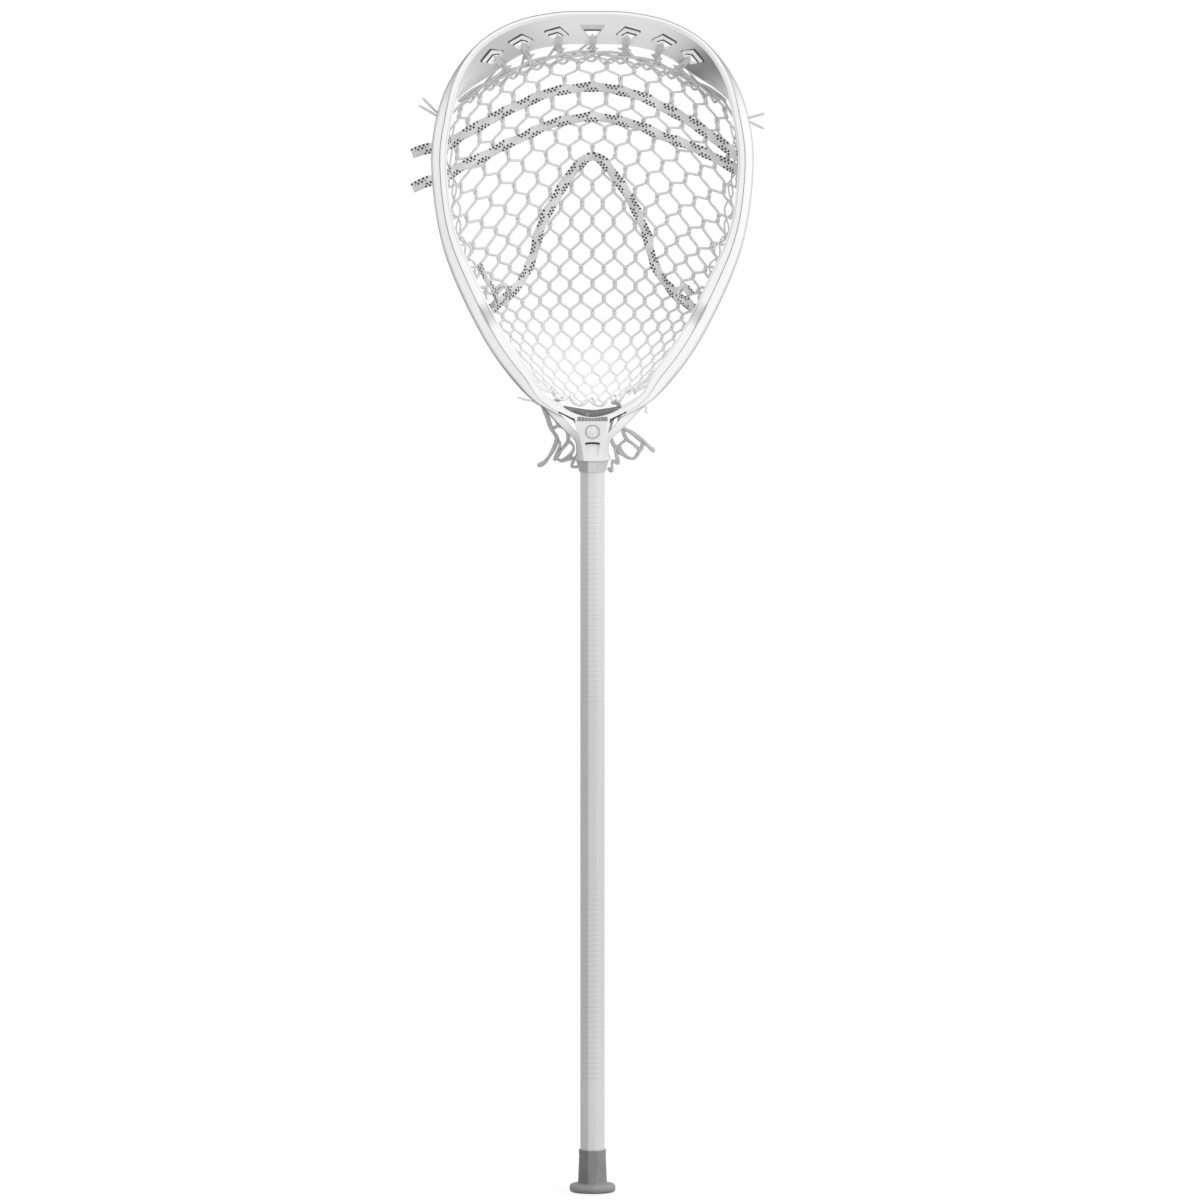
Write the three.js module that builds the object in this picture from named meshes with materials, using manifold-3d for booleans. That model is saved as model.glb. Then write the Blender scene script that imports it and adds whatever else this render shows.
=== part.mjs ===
// A lacrosse goalie stick: a wide moulded head with a strung pocket, on an octagonal shaft with a rubber end cap.
// Millimetres, +Z up along the shaft. The ball side of the head faces -Y and the pocket sags towards +Y.
// The origin is the centre of the end cap's flat bottom.
import * as THREE from 'three';
import { mergeVertices } from 'three/addons/utils/BufferGeometryUtils.js';
import Module from 'manifold-3d';

const wasm = await Module();
wasm.setup();
const { smoothstep, lerp, clamp } = THREE.MathUtils;

// Fits shared by all pieces
const seatGap = 0.3;
const cutOverrun = 4;

// Shaft: an eight-sided tube
const shaftLength = 788;
const shaftWidth = 25.2;
const shaftDepth = 27.5;
const shaftWall = 1.5;
const shaftFlatShare = 0.32;
const shaftSideShare = 0.38;

// End cap: a rubber sleeve on a round foot
const footRadius = 23.8;
const footHeight = 11;
const footRound = 4.6;
const footRoundSteps = 4;
const sleeveLength = 35.8;
const sleeveTopWall = 1.4;
const sleeveFootWall = 2.3;
const sleeveLip = 1.6;
const roundSides = 40;

// Throat of the head, which holds the shaft in its socket
const socketDepth = 36;
const socketWall = 4.2;
const throatHeight = 47;
const throatDepth = 38;
const throatFanWidth = 122;
const plateTopWidth = 33;
const plateFootWidth = 17;
const collarHeight = 12.4;
const collarTopWall = 4;
const collarFootWall = 1;

// Head outline, seen from the front
const headLength = 421;
const headWidth = 333.4;
const outlineShares = [
  [0.115, -0.013], [0.24, 0.008], [0.38, 0.04], [0.552, 0.1145], [0.711, 0.2133], [0.926, 0.411],
  [1, 0.609], [0.983, 0.708], [0.914, 0.807], [0.808, 0.881], [0.665, 0.94], [0.471, 0.98], [0.22, 1],
];
const outlineFootShare = -0.0214;

// Sidewalls and rails of the head, sizes across the moulding
const frontReach = 25;
const backReach = 26;
const railLowWidth = 22.4;
const railHighWidth = 17;
const crestShare = 0.54;
const bevelDrop = 8;
const railLip = 2.2;
const railFall = 0.8;
const flangeDepth = 15;
const sideWall = 4.5;
const sideInset = 4;
const beadHeight = 9;
const beadSwell = 2.5;

// Scoop, at the top of the head
const lipReach = 11;
const scoopDrop = 35;
const scoopRun = 46;
const scoopSectionShares = [
  [0, 0.065], [0.02, 0], [0.085, 0.005], [0.185, 0.11], [0.46, 0.37], [0.71, 0.65],
  [0.94, 0.93], [1, 1], [0.96, 1.03], [0.86, 0.97], [0.22, 0.27],
];

// Ball stop wall, at the foot of the head's inside
const stopWall = 8;
const stopSectionShares = [
  [0, 0.04], [0.3, 0], [0.85, 0], [1, 0.04], [1, 0.2], [1, 0.4],
  [1, 0.75], [1, 0.9], [0.9, 1], [0.1, 1], [0, 0.4],
];
const padThickness = 3.4;
const padEndThickness = 1.2;
const padHalfLength = 37;
const padFrontGap = 2.5;
const padBackGap = 5.5;

// How finely the moulding's curves are stepped
const stopSteps = 8;
const sideSteps = 18;
const scoopSteps = 22;
const scoopZoneShare = 0.64;

// String holes in the scoop, in the plane of its inner face
const holeDistances = [39, 79.5, 119];
const holeDepthAlong = 27;
const holeWidth = 17;
const holeHeight = 14.5;
const middleHoleWidth = 26;
const ledgeWidth = 24;
const ledgeHeight = 20;
const ledgeDepth = 1.5;
const holeOutlineShares = [[-0.5, 0.2], [0.06, 0.5], [0.5, 0.08], [0.1, -0.5], [-0.16, -0.5]];
const middleOutlineShares = [[-0.5, 0.5], [0.5, 0.5], [0.12, -0.5], [-0.12, -0.5]];

// Sidewall windows, each between two struts of the moulding
const strutWidth = 7;
const windowFrontGap = 3;
const windowCorner = 6;
const windowTopRow = -0.8;
const windowFootRow = 22;
const strutRows = [3.4, 7, 11, 15.2, 18.6];

// Throat windows, slot and badge seat
const windowTipX = 34.5;
const windowInnerX = 19.4;
const windowFootX = 16.2;
const windowTipRise = 3.4;
const windowInnerDrop = 6;
const windowFootDrop = 18.4;
const slotWidth = 15.6;
const slotFootWidth = 11.4;
const slotHeight = 14;
const slotTopDrop = 28;
const slotTopDepth = 3.4;
const slotFootDepth = 0.6;
const badgeRadius = 6.8;
const badgeThickness = 1.4;
const badgeDrop = 16.4;
const badgeProud = 0.5;

// Head screw, at the back of the throat
const screwRadius = 1.9;
const screwHeadRadius = 4;
const screwHeadHeight = 2.4;
const screwDrop = 25;
const screwTipDepth = 5;
const screwDriveRadius = 1.7;
const screwDriveDepth = 1.3;

// Net: rows and columns of knots, half a pitch apart
const netColumns = 12;
const netRows = 23;
const netFootRise = 8;
const netTopDrop = 9;
const netInset = 15.6;
const pocketDepth = 72;
const sagPower = 1.6;
const bowlPower = 2.4;
const netThickness = 2.2;
const netTopY = 13;
const knotHalfShare = 0.22;
const meshOpenShare = 0.88;
const rowCentreShares = [0, 0.181, 0.389, 0.587, 0.759, 0.913, 1];
const rowEdgeShares = [0.151, 0.369, 0.539, 0.66, 0.756, 0.85, 0.947];
const rowFanShares = [0.26, 0.08, -0.08, 0.15, 0.37, 0.4, 0.3];

// Cords and laces
const stringRadius = 1.3;
const stringSides = 6;
const stringClearance = 0.6;
const laceWidth = 9;
const laceThickness = 1.8;
const laceGap = 0.5;
const laceSteps = 28;

// Top string: between two cells of the net it goes through a scoop hole, counted from the middle, or over the net
const topBridges = [-3, null, -2, -1, 0, null, 1, 2, null, 3];
const topPassRow = -0.2;
const topStrandRow = -0.62;
const topOverRow = -0.95;
const scoopWallDepth = 4.6;
const faceLead = 4.2;
const holeLift = 2;

// Sidewall strings: the rows at which they go round the back rail, and the length of rail that a turn takes
const wrapRows = [1.8, 5, 9, 12.3, 17, 19.8];
const wrapPitch = 3.4;
const wrapCorner = 1.4;
const runSpacing = 17;

// Bottom string: the cells that it passes through, and the row of its turn round the rail
const footColumns = [-8, -4, 0, 4, 8];
const footPitch = 4;
const footWrapRow = 20.8;
const footPassDrop = 0.9;
const footStrandDrop = 0.4;

// Loose cord ends outside the rails: row, reach beyond the rail, rise and depth
const looseEnds = {
  topLeft: [-0.3, 14.6, 14.5, 8],
  sideLeft: [-0.15, 17.8, 10.4, 2],
  topRight: [0, 15.9, 4.4, 8],
  sideRight: [0.2, 14.5, -6.7, 2],
};

// Laces, as columns and rows of the net, and how far their ends reach beyond the rail
const upperLacePath = [[-11.4, 1.15], [-9, 1], [-6, 0.9], [-3, 0.95], [0, 1.1], [3, 1.2], [6, 1.3], [9, 1.4], [11.4, 1.5]];
const lowerLacePath = [[-11.4, 2.5], [-9, 2.7], [-6, 2.9], [-3, 3], [0, 3], [3, 3], [6, 2.9], [9, 2.7], [11.4, 2.5]];
const vLaceArm = [
  [1.6, 5.9], [2.7, 6.7], [4.1, 7.9], [5, 9], [5.5, 10.1], [6.2, 11.4], [8, 12.7], [11.2, 13.9],
];
const vLaceTop = [0, 5.4];
const laceTailReach = 20;
const laceTailFall = 8;
const laceTuck = 5;
const laceWallY = 8;

// Spare net gathered behind the throat: strands as shares of the tail's size, from the middle of the seat
const tailSize = 60;
const tailStandoff = 8;
const tailRadius = 1.6;
const leftTieColumn = -5.5;
const rightTieColumn = 3.5;
const tieDrop = 0.4;
const leftTailShares = [
  [[-0.66, 0.16, -0.02], [-0.84, 0.05, 0], [-0.776, -0.122, 0.02], [-0.71, -0.32, 0.06], [-0.617, -0.48, 0.08],
    [-0.64, -0.6, 0.1], [-0.73, -0.78, 0.12], [-0.85, -0.93, 0.14], [-0.95, -0.97, 0.15]],
  [[-0.617, -0.48, 0.08], [-0.56, -0.59, 0.1], [-0.61, -0.76, 0.12], [-0.66, -0.88, 0.13]],
  [[-0.66, 0.16, -0.02], [-0.58, -0.02, 0], [-0.64, -0.14, 0.02], [-0.598, -0.26, 0.04], [-0.71, -0.32, 0.06]],
  [[-0.598, -0.26, 0.04], [-0.45, -0.35, 0.06], [-0.42, -0.52, 0.08], [-0.54, -0.7, 0.1], [-0.66, -0.88, 0.13]],
  [[-0.42, -0.52, 0.08], [-0.33, -0.62, 0.08], [-0.34, -0.72, 0.1], [-0.52, -0.88, 0.12], [-0.6, -0.86, 0.12]],
  [[-0.52, -0.88, 0.12], [-0.32, -0.84, 0.1], [-0.36, -0.98, 0.1], [-0.24, -0.98, 0.08]],
];
const rightTailShares = [
  [[0.46, 0.1, -0.02], [0.494, -0.28, 0.02], [0.67, -0.38, 0.06], [0.87, -0.54, 0.1], [1.07, -0.72, 0.12]],
  [[0.494, -0.28, 0.02], [0.59, -0.5, 0.06], [0.67, -0.56, 0.08], [0.83, -0.68, 0.1], [0.87, -0.54, 0.1]],
  [[0.59, -0.5, 0.06], [0.47, -0.62, 0.08], [0.55, -0.78, 0.1], [0.71, -0.84, 0.1], [0.83, -0.68, 0.1]],
  [[0.46, 0.1, -0.02], [0.3, -0.3, 0.02], [0.33, -0.52, 0.06], [0.39, -0.64, 0.08], [0.49, -0.76, 0.09], [0.55, -0.78, 0.1]],
  [[0.47, -0.62, 0.08], [0.39, -0.64, 0.08], [0.41, -0.76, 0.08], [0.44, -0.92, 0.08], [0.35, -0.88, 0.08],
    [0.33, -1.06, 0.08], [0.27, -1, 0.08]],
];

// Heights that follow from the sizes above
const shaftBottom = footHeight + seatGap;
const shaftTop = shaftBottom + shaftLength;
const socketTop = shaftTop + seatGap;
const throatBottom = socketTop - socketDepth;
const seatHeight = throatBottom + throatHeight;
const lipHeight = seatHeight + headLength;
const netTopHeight = lipHeight - scoopDrop - netTopDrop;
const netFootHeight = seatHeight + netFootRise;
const wallIn = sideInset + sideWall;

// Materials
function finish(color, roughness, metalness = 0) {
  return new THREE.MeshStandardMaterial({ color, roughness, metalness });
}
const whiteNylon = finish(0xf2f2f0, 0.35);
const darkFoam = finish(0x5c5c5c, 0.9);
const badgeWhite = finish(0xe4e4e0, 0.4);
const greyFerrule = finish(0xb4b4b4, 0.5);
const silverTube = finish(0xd2d2d4, 0.35, 0.6);
const greyRubber = finish(0x757575, 0.85);
const screwSteel = finish(0x8c8c90, 0.35, 0.9);
const netCord = finish(0xdadad8, 0.8);
const stringCord = finish(0xcfcfcd, 0.8);
const laceWeave = finish(0xd6d6d4, 0.85);

// Solids: closed meshes joined and cut
function solidOf(geometry) {
  const bare = geometry.index ? geometry.toNonIndexed() : geometry.clone();
  bare.deleteAttribute('normal');
  bare.deleteAttribute('uv');
  const merged = mergeVertices(bare, 1e-4);
  return new wasm.Manifold(new wasm.Mesh({
    numProp: 3,
    vertProperties: new Float32Array(merged.attributes.position.array),
    triVerts: new Uint32Array(merged.index.array),
  }));
}

function geometryOf(solid) {
  const mesh = solid.getMesh();
  const geometry = new THREE.BufferGeometry();
  geometry.setAttribute('position', new THREE.BufferAttribute(new Float32Array(mesh.vertProperties), 3));
  geometry.setIndex(new THREE.BufferAttribute(new Uint32Array(mesh.triVerts), 1));
  return geometry;
}

function cut(body, ...tools) {
  return tools.reduce((rest, tool) => rest.subtract(tool), body);
}

// A closed skin over rings of points. Each ring has the same number of points, anticlockwise seen from the next.
function skin(rings, closed = false) {
  const count = rings[0].length;
  const points = rings.flat().flatMap((p) => [p.x, p.y, p.z]);
  const faces = [];
  const last = closed ? rings.length : rings.length - 1;
  for (let i = 0; i < last; i += 1) {
    const next = (i + 1) % rings.length;
    for (let k = 0; k < count; k += 1) {
      const side = (k + 1) % count;
      const [a, b, c, d] = [i * count + k, i * count + side, next * count + side, next * count + k];
      faces.push(a, b, c, a, c, d);
    }
  }
  if (!closed) {
    const end = (rings.length - 1) * count;
    for (let k = 1; k < count - 1; k += 1) {
      faces.push(0, k + 1, k, end, end + k, end + k + 1);
    }
  }
  const geometry = new THREE.BufferGeometry();
  geometry.setAttribute('position', new THREE.Float32BufferAttribute(points, 3));
  geometry.setIndex(faces);
  return geometry;
}

// An eight-sided ring round the shaft's axis, anticlockwise seen from above
function octagon(halfWidth, halfDepth, flat, side, z) {
  const corners = [
    [flat, -halfDepth], [halfWidth, -side], [halfWidth, side], [flat, halfDepth],
    [-flat, halfDepth], [-halfWidth, side], [-halfWidth, -side], [-flat, -halfDepth],
  ];
  return corners.map(([x, y]) => new THREE.Vector3(x, y, z));
}

// The shaft's own section, grown outwards by a margin
function shaftRing(margin, z) {
  const halfWidth = shaftWidth / 2 + margin;
  const halfDepth = shaftDepth / 2 + margin;
  const flat = (shaftWidth / 2) * shaftFlatShare + margin * Math.tan(Math.PI / 8);
  const side = (shaftDepth / 2) * shaftSideShare + margin * Math.tan(Math.PI / 8);
  return octagon(halfWidth, halfDepth, flat, side, z);
}

function shaftPlug(margin, low, high) {
  return solidOf(skin([shaftRing(margin, low), shaftRing(margin, high)]));
}

// The head's outline: a smooth closed curve in the XZ plane, anticlockwise from the foot of the ball stop wall
const outline = headOutline();
const outlineLength = outline.getLength();

function headOutline() {
  const at = ([x, z]) => new THREE.Vector3((x * headWidth) / 2, 0, seatHeight + z * headLength);
  const right = outlineShares.map(at);
  const left = right.map((p) => new THREE.Vector3(-p.x, 0, p.z)).reverse();
  const curve = new THREE.CatmullRomCurve3([at([0, outlineFootShare]), ...right, at([0, 1]), ...left], true);
  curve.arcLengthDivisions = 1200;
  return curve;
}

// Where the outline is at a distance from its foot, with its inward normal and how high up the head it is
function station(distance) {
  const s = (((distance / outlineLength) % 1) + 1) % 1;
  const point = outline.getPointAt(s);
  const along = outline.getTangentAt(s);
  const inward = new THREE.Vector3(-along.z, 0, along.x);
  return { point, along, inward, rise: (point.z - seatHeight) / headLength };
}

function place(distance, inset, y) {
  const { point, inward } = station(distance);
  return point.clone().addScaledVector(inward, inset).setY(y);
}

// The distance along the outline at which an inset point of the right side has the height z
function distanceAt(z, inset) {
  let low = 0;
  let high = outlineLength / 2;
  for (let step = 0; step < 40; step += 1) {
    const middle = (low + high) / 2;
    if (place(middle, inset, 0).z < z) {
      low = middle;
    } else {
      high = middle;
    }
  }
  return (low + high) / 2;
}

// How far the front crest stands out at a height share
function crestY(rise) {
  return -frontReach - lipReach * smoothstep(rise, 0.7, 1);
}

function sideSection(rise) {
  const rail = lerp(railLowWidth, railHighWidth, smoothstep(rise, 0.3, 0.5));
  const front = crestY(rise);
  return [
    [0, front + bevelDrop],
    [rail * crestShare, front],
    [rail - railLip, front + railFall],
    [rail, front + railFall + railLip],
    [rail - railLip, front + railFall + 2 * railLip],
    [wallIn, front + flangeDepth],
    [wallIn, backReach - beadHeight],
    [wallIn + beadSwell, backReach - beadHeight / 2],
    [wallIn + beadSwell / 2, backReach],
    [sideInset, backReach],
    [sideInset, front + flangeDepth],
  ];
}

// Share of the scoop's form and of the ball stop wall's form in the section at a height share
const scoopShare = (rise) => smoothstep(rise, 0.72, 0.93);
const stopShare = (rise) => 1 - smoothstep(rise, -0.03, 0.035);

function headSection(rise) {
  const front = crestY(rise);
  const scoop = scoopShare(rise);
  const stop = stopShare(rise);
  return sideSection(rise).map(([inset, y], k) => {
    const [scoopIn, scoopBack] = scoopSectionShares[k];
    const [stopIn, stopBack] = stopSectionShares[k];
    const withScoop = [lerp(inset, scoopIn * scoopDrop, scoop), lerp(y, front + scoopBack * scoopRun, scoop)];
    return [
      lerp(withScoop[0], stopIn * stopWall, stop),
      lerp(withScoop[1], front + stopBack * (backReach - front - 2 * railLip), stop),
    ];
  });
}

// Sections along the outline: close together round the ball stop and the scoop, wider apart on the sides
function ringDistances() {
  const stopZone = 2 * padHalfLength;
  const scoopZone = distanceAt(seatHeight + headLength * scoopZoneShare, 0);
  const half = outlineLength / 2;
  const zones = [[0, stopZone, stopSteps * 2], [stopZone, scoopZone, sideSteps], [scoopZone, half, scoopSteps]];
  const right = zones.flatMap(([from, to, count]) => (
    Array.from({ length: count }, (_, i) => lerp(from, to, i / count))
  ));
  const left = right.slice(1).map((distance) => -distance);
  return [...left, -half, ...right.reverse()];
}

function headRing() {
  const rings = ringDistances().map((distance) => {
    const { rise } = station(distance);
    return headSection(rise).map(([inset, y]) => place(distance, inset, y));
  });
  return solidOf(skin(rings, true));
}

// The throat: a stack of eight-sided sections that fans out into the sidewalls
function throatSections() {
  const foot = shaftWidth / 2 + socketWall;
  const halfDepth = throatDepth / 2;
  const fan = throatFanWidth / 2;
  const rows = [
    [0, 0, 0], [0.42, 0.03, 0.5], [0.64, 0.25, 0.78], [0.84, 0.46, 1], [1, 0.62, 1], [1.36, 1, 1],
  ];
  return rows.map(([up, spread, deepen]) => octagon(
    lerp(foot, fan, spread),
    lerp(halfDepth, frontReach - seatGap / 2, deepen),
    lerp(plateFootWidth, plateTopWidth, Math.min(up, 1)) / 2,
    lerp(halfDepth / 2, frontReach * 0.8, deepen),
    throatBottom + up * throatHeight,
  ));
}

// Everything inside the ball stop wall and the lower rails, to trim the throat with
function headInside() {
  const points = [];
  const reach = distanceAt(seatHeight + throatHeight, 0);
  const steps = 24;
  for (let i = 0; i <= steps; i += 1) {
    const p = place(lerp(-reach, reach, i / steps), stopWall * 0.75, 0);
    points.push(new THREE.Vector2(p.x, p.z));
  }
  return prismAlongY(points, -2 * frontReach, 2 * backReach);
}

// An outline in the XZ plane carried along Y
function prismAlongY(points, from, to) {
  const geometry = new THREE.ExtrudeGeometry(new THREE.Shape(points), { depth: to - from, bevelEnabled: false });
  geometry.rotateX(Math.PI / 2);
  geometry.translate(0, to, 0);
  return solidOf(geometry);
}

function throatWindows() {
  const corners = [
    [windowTipX, seatHeight + windowTipRise],
    [windowFootX, seatHeight - windowFootDrop],
    [windowInnerX, seatHeight - windowInnerDrop],
  ];
  return [1, -1].map((side) => prismAlongY(
    corners.map(([x, z]) => new THREE.Vector2(side * x, z)),
    -2 * frontReach,
    2 * backReach,
  ));
}

// The front of the throat's plate at a height, read from the stack of sections
function plateY(z) {
  const sections = throatSections();
  const above = Math.max(1, sections.findIndex((ring) => ring[0].z >= z));
  const [low, high] = [sections[above - 1][0], sections[above][0]];
  return lerp(low.y, high.y, (z - low.z) / (high.z - low.z));
}

// A shallow slot in the plate, deep at its top and running out at its foot
function throatSlot() {
  const top = seatHeight - slotTopDrop;
  const foot = top - slotHeight;
  const front = Math.min(plateY(top), plateY(foot)) - cutOverrun;
  const half = slotWidth / 2;
  const footHalf = slotFootWidth / 2;
  const ring = (topY, footY) => [
    new THREE.Vector3(-footHalf, footY, foot), new THREE.Vector3(footHalf, footY, foot),
    new THREE.Vector3(half, topY, top), new THREE.Vector3(-half, topY, top),
  ];
  const outer = ring(front, front);
  const inner = ring(plateY(top) + slotTopDepth, plateY(foot) + slotFootDepth);
  return solidOf(skin([inner, outer]));
}

// The badge's disc, its back lying parallel to the plate, with a margin for its seat
function badgeDisc(margin, thickness) {
  const z = seatHeight - badgeDrop;
  const slope = Math.atan2(plateY(z - badgeRadius) - plateY(z + badgeRadius), 2 * badgeRadius);
  const disc = new THREE.CylinderGeometry(badgeRadius + margin, badgeRadius + margin, thickness, 32);
  disc.translate(0, -thickness / 2, 0);
  disc.rotateX(slope);
  disc.translate(0, plateY(z) + badgeThickness - badgeProud + margin, z);
  return disc;
}

// The head screw's space, grown by a margin: shank and head on one axis along Y
function screwTool(margin) {
  const shank = screwRod(screwRadius + margin, screwTipDepth, 2 * throatDepth);
  const head = screwRod(screwHeadRadius + margin, screwSeatY() - margin, throatDepth);
  return shank.add(head);
}

function screwRod(radius, from, to, sides = 24) {
  const rod = new THREE.CylinderGeometry(radius, radius, to - from, sides);
  rod.translate(0, (from + to) / 2, seatHeight - screwDrop);
  return solidOf(rod);
}

function screwSeatY() {
  return -plateY(seatHeight - screwDrop) - screwHeadHeight;
}

// The inner face of the scoop at a distance along the outline: a frame on the middle of a string hole, whose Z
// points out of the moulding, and how far below it the face ends
function scoopFace(distance) {
  const { along, rise } = station(distance);
  const section = headSection(rise);
  const [lip, near, far, edge] = [3, 4, 6, 7].map((k) => place(distance, ...section[k]));
  const up = near.clone().sub(far).normalize();
  const across = along.clone().negate();
  const out = new THREE.Vector3().crossVectors(across, up);
  const centre = near.clone().addScaledVector(up, holeHeight / 2 - holeDepthAlong + lip.distanceTo(near));
  const basis = new THREE.Matrix4().makeBasis(across, up, out).setPosition(centre);
  return { basis, edgeDrop: centre.clone().sub(edge).dot(up) };
}

function scoopPrism(distance, shares, width, height, mirror, depth) {
  const points = shares.map(([u, v]) => new THREE.Vector2(mirror * u * width, v * height));
  const geometry = new THREE.ExtrudeGeometry(new THREE.Shape(points), { depth: 2 * cutOverrun + depth, bevelEnabled: false });
  geometry.translate(0, 0, -depth);
  geometry.applyMatrix4(scoopFace(distance).basis);
  return solidOf(geometry);
}

// Through-holes for the strings, each under a stepped ledge
function scoopHoles() {
  const half = outlineLength / 2;
  const through = scoopRun / 2;
  const middle = scoopPrism(half, middleOutlineShares, middleHoleWidth, holeHeight, 1, through);
  const sides = holeDistances.flatMap((distance) => [1, -1].flatMap((side) => {
    const at = half - side * distance;
    return [
      scoopPrism(at, holeOutlineShares, holeWidth, holeHeight, -side, through),
      scoopPrism(at, holeOutlineShares, ledgeWidth, ledgeHeight, -side, ledgeDepth),
    ];
  }));
  return [middle, ...sides];
}

// A window through a sidewall between two distances along the outline, its corners cut off
function sideWindow(from, to) {
  const steps = 4;
  const rings = [];
  for (let i = 0; i <= steps; i += 1) {
    const share = i / steps;
    const distance = lerp(from, to, share);
    const corner = i === 0 || i === steps ? windowCorner : 0;
    const front = crestY(station(distance).rise) + flangeDepth + windowFrontGap + corner;
    const back = backReach - beadHeight - corner / 2;
    rings.push([
      place(distance, -cutOverrun, front), place(distance, -cutOverrun, back),
      place(distance, wallIn + cutOverrun, back), place(distance, wallIn + cutOverrun, front),
    ]);
  }
  return solidOf(skin(from < to ? rings : rings.map((ring) => ring.slice().reverse())));
}

function sideWindows() {
  const ends = [windowTopRow, ...strutRows, windowFootRow];
  const tools = [];
  for (let k = 0; k + 1 < ends.length; k += 1) {
    const high = distanceAt(edgeHeight(ends[k]), netInset) - strutWidth / 2;
    const low = distanceAt(edgeHeight(ends[k + 1]), netInset) + strutWidth / 2;
    tools.push(sideWindow(low, high), sideWindow(-low, -high));
  }
  return tools;
}

function headFrame() {
  const throat = solidOf(skin(throatSections())).subtract(headInside());
  const body = headRing().add(throat);
  const socket = shaftPlug(seatGap, throatBottom - cutOverrun, socketTop);
  return geometryOf(cut(
    body,
    ...throatWindows(),
    socket,
    throatSlot(),
    solidOf(badgeDisc(seatGap, badgeThickness + cutOverrun)),
    screwTool(seatGap),
    ...scoopHoles(),
    ...sideWindows(),
  ));
}

// Foam pad on the ball stop wall, thinning to its two ends
function ballStop() {
  const rings = [];
  for (let i = -stopSteps; i <= stopSteps; i += 1) {
    const t = i / stopSteps;
    const distance = -t * padHalfLength;
    const section = headSection(station(distance).rise);
    const inner = Math.max(...section.slice(2, 9).map(([inset]) => inset)) + seatGap;
    const outer = inner + lerp(padThickness, padEndThickness, t * t);
    const front = section[1][1] + padFrontGap;
    const back = backReach - padBackGap - 2 * railLip;
    rings.push([
      place(distance, inner, front), place(distance, outer, front + padEndThickness),
      place(distance, outer, back), place(distance, inner, back),
    ]);
  }
  return skin(rings);
}

// Net surface: rows run from the scoop down to the ball stop wall, columns from side to side
function alongRows(shares, row) {
  const keys = shares.length - 1;
  const at = clamp(((row + 1) / (netRows + 1)) * keys, 0, keys);
  const k = Math.min(Math.floor(at), keys - 1);
  const [a, b, c, d] = [k - 1, k, k + 1, k + 2].map((n) => shares[clamp(n, 0, keys)]);
  const t = at - k;
  return b + 0.5 * t * (c - a + t * (2 * a - 5 * b + 4 * c - d + t * (3 * (b - c) + d - a)));
}

function rowHeight(shares, row) {
  return lerp(netTopHeight, netFootHeight, alongRows(shares, row));
}

function edgeHeight(row) {
  return rowHeight(rowEdgeShares, row);
}

const halfWidthAt = new Map();
function netHalfWidth(row) {
  if (!halfWidthAt.has(row)) {
    const z = edgeHeight(row);
    halfWidthAt.set(row, place(distanceAt(z, netInset), netInset, 0).x);
  }
  return halfWidthAt.get(row);
}

// A point of the net: column from -netColumns to netColumns, row from -1 to netRows
function netPoint(column, row) {
  const t = column / netColumns;
  const fan = alongRows(rowFanShares, row);
  const x = ((1 + fan) * t - fan * t * Math.abs(t)) * netHalfWidth(row);
  const across = x / netHalfWidth(row);
  const z = lerp(rowHeight(rowCentreShares, row), edgeHeight(row), across * across);
  const down = clamp((row + 1) / (netRows + 1), 0, 1);
  const edge = lerp(netTopY, backReach - beadHeight / 2, Math.max(across * across, Math.min(4 * down, 1)));
  const sag = pocketDepth * Math.sin(Math.PI * down ** sagPower) * (1 - Math.abs(across) ** bowlPower);
  return new THREE.Vector3(x, edge + sag, z);
}

// The net's direction towards the ball side
function netNormal(column, row) {
  const step = 0.2;
  const across = netPoint(column + step, row).sub(netPoint(column - step, row));
  const down = netPoint(column, row + step).sub(netPoint(column, row - step));
  return new THREE.Vector3().crossVectors(down, across).normalize();
}

// The net: six-sided gaps between knots, with strands of four-sided section
function pocketNet() {
  const points = [];
  const faces = [];
  const nodeAt = new Map();
  const add = (p) => points.push(p.x, p.y, p.z) / 3 - 1;
  const edges = new Map();

  // A lattice point gives one vertex on the front and one on the back
  function node(column, row, end) {
    const key = `${column},${row},${end}`;
    if (!nodeAt.has(key)) {
      const level = clamp(row + end * knotHalfShare, -1, netRows);
      const p = netPoint(column, level);
      const n = netNormal(column, level).multiplyScalar(netThickness / 2);
      nodeAt.set(key, { p, front: add(p.clone().add(n)), back: add(p.clone().sub(n)) });
    }
    return nodeAt.get(key);
  }

  for (let row = 0; row < netRows; row += 1) {
    const first = row % 2 === 0 ? 2 - netColumns : 1 - netColumns;
    for (let column = first; column <= -first; column += 2) {
      const corners = [
        node(column, row - 1, 1), node(column - 1, row, -1), node(column - 1, row, 1),
        node(column, row + 1, -1), node(column + 1, row, 1), node(column + 1, row, -1),
      ];
      const centre = corners.reduce((sum, c) => sum.add(c.p), new THREE.Vector3()).divideScalar(corners.length);
      const rim = corners.map((c) => add(centre.clone().lerp(c.p, meshOpenShare)));
      corners.forEach((a, k) => {
        const next = (k + 1) % corners.length;
        const b = corners[next];
        faces.push(a.front, b.front, rim[next], a.front, rim[next], rim[k]);
        faces.push(a.back, rim[next], b.back, a.back, rim[k], rim[next]);
        const back = `${b.front},${a.front}`;
        if (edges.has(back)) {
          edges.delete(back);
        } else {
          edges.set(`${a.front},${b.front}`, [a, b]);
        }
      });
    }
  }
  for (const [a, b] of edges.values()) {
    faces.push(a.front, a.back, b.back, a.front, b.back, b.front);
  }
  const geometry = new THREE.BufferGeometry();
  geometry.setAttribute('position', new THREE.Float32BufferAttribute(points, 3));
  geometry.setIndex(faces);
  return geometry;
}

// A path stepped from point to point, so that its bends get the steps that they need
class PointPath extends THREE.CatmullRomCurve3 {
  getPointAt(share) {
    return this.getPoint(share);
  }

  getTangentAt(share) {
    return this.getTangent(share);
  }
}

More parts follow.
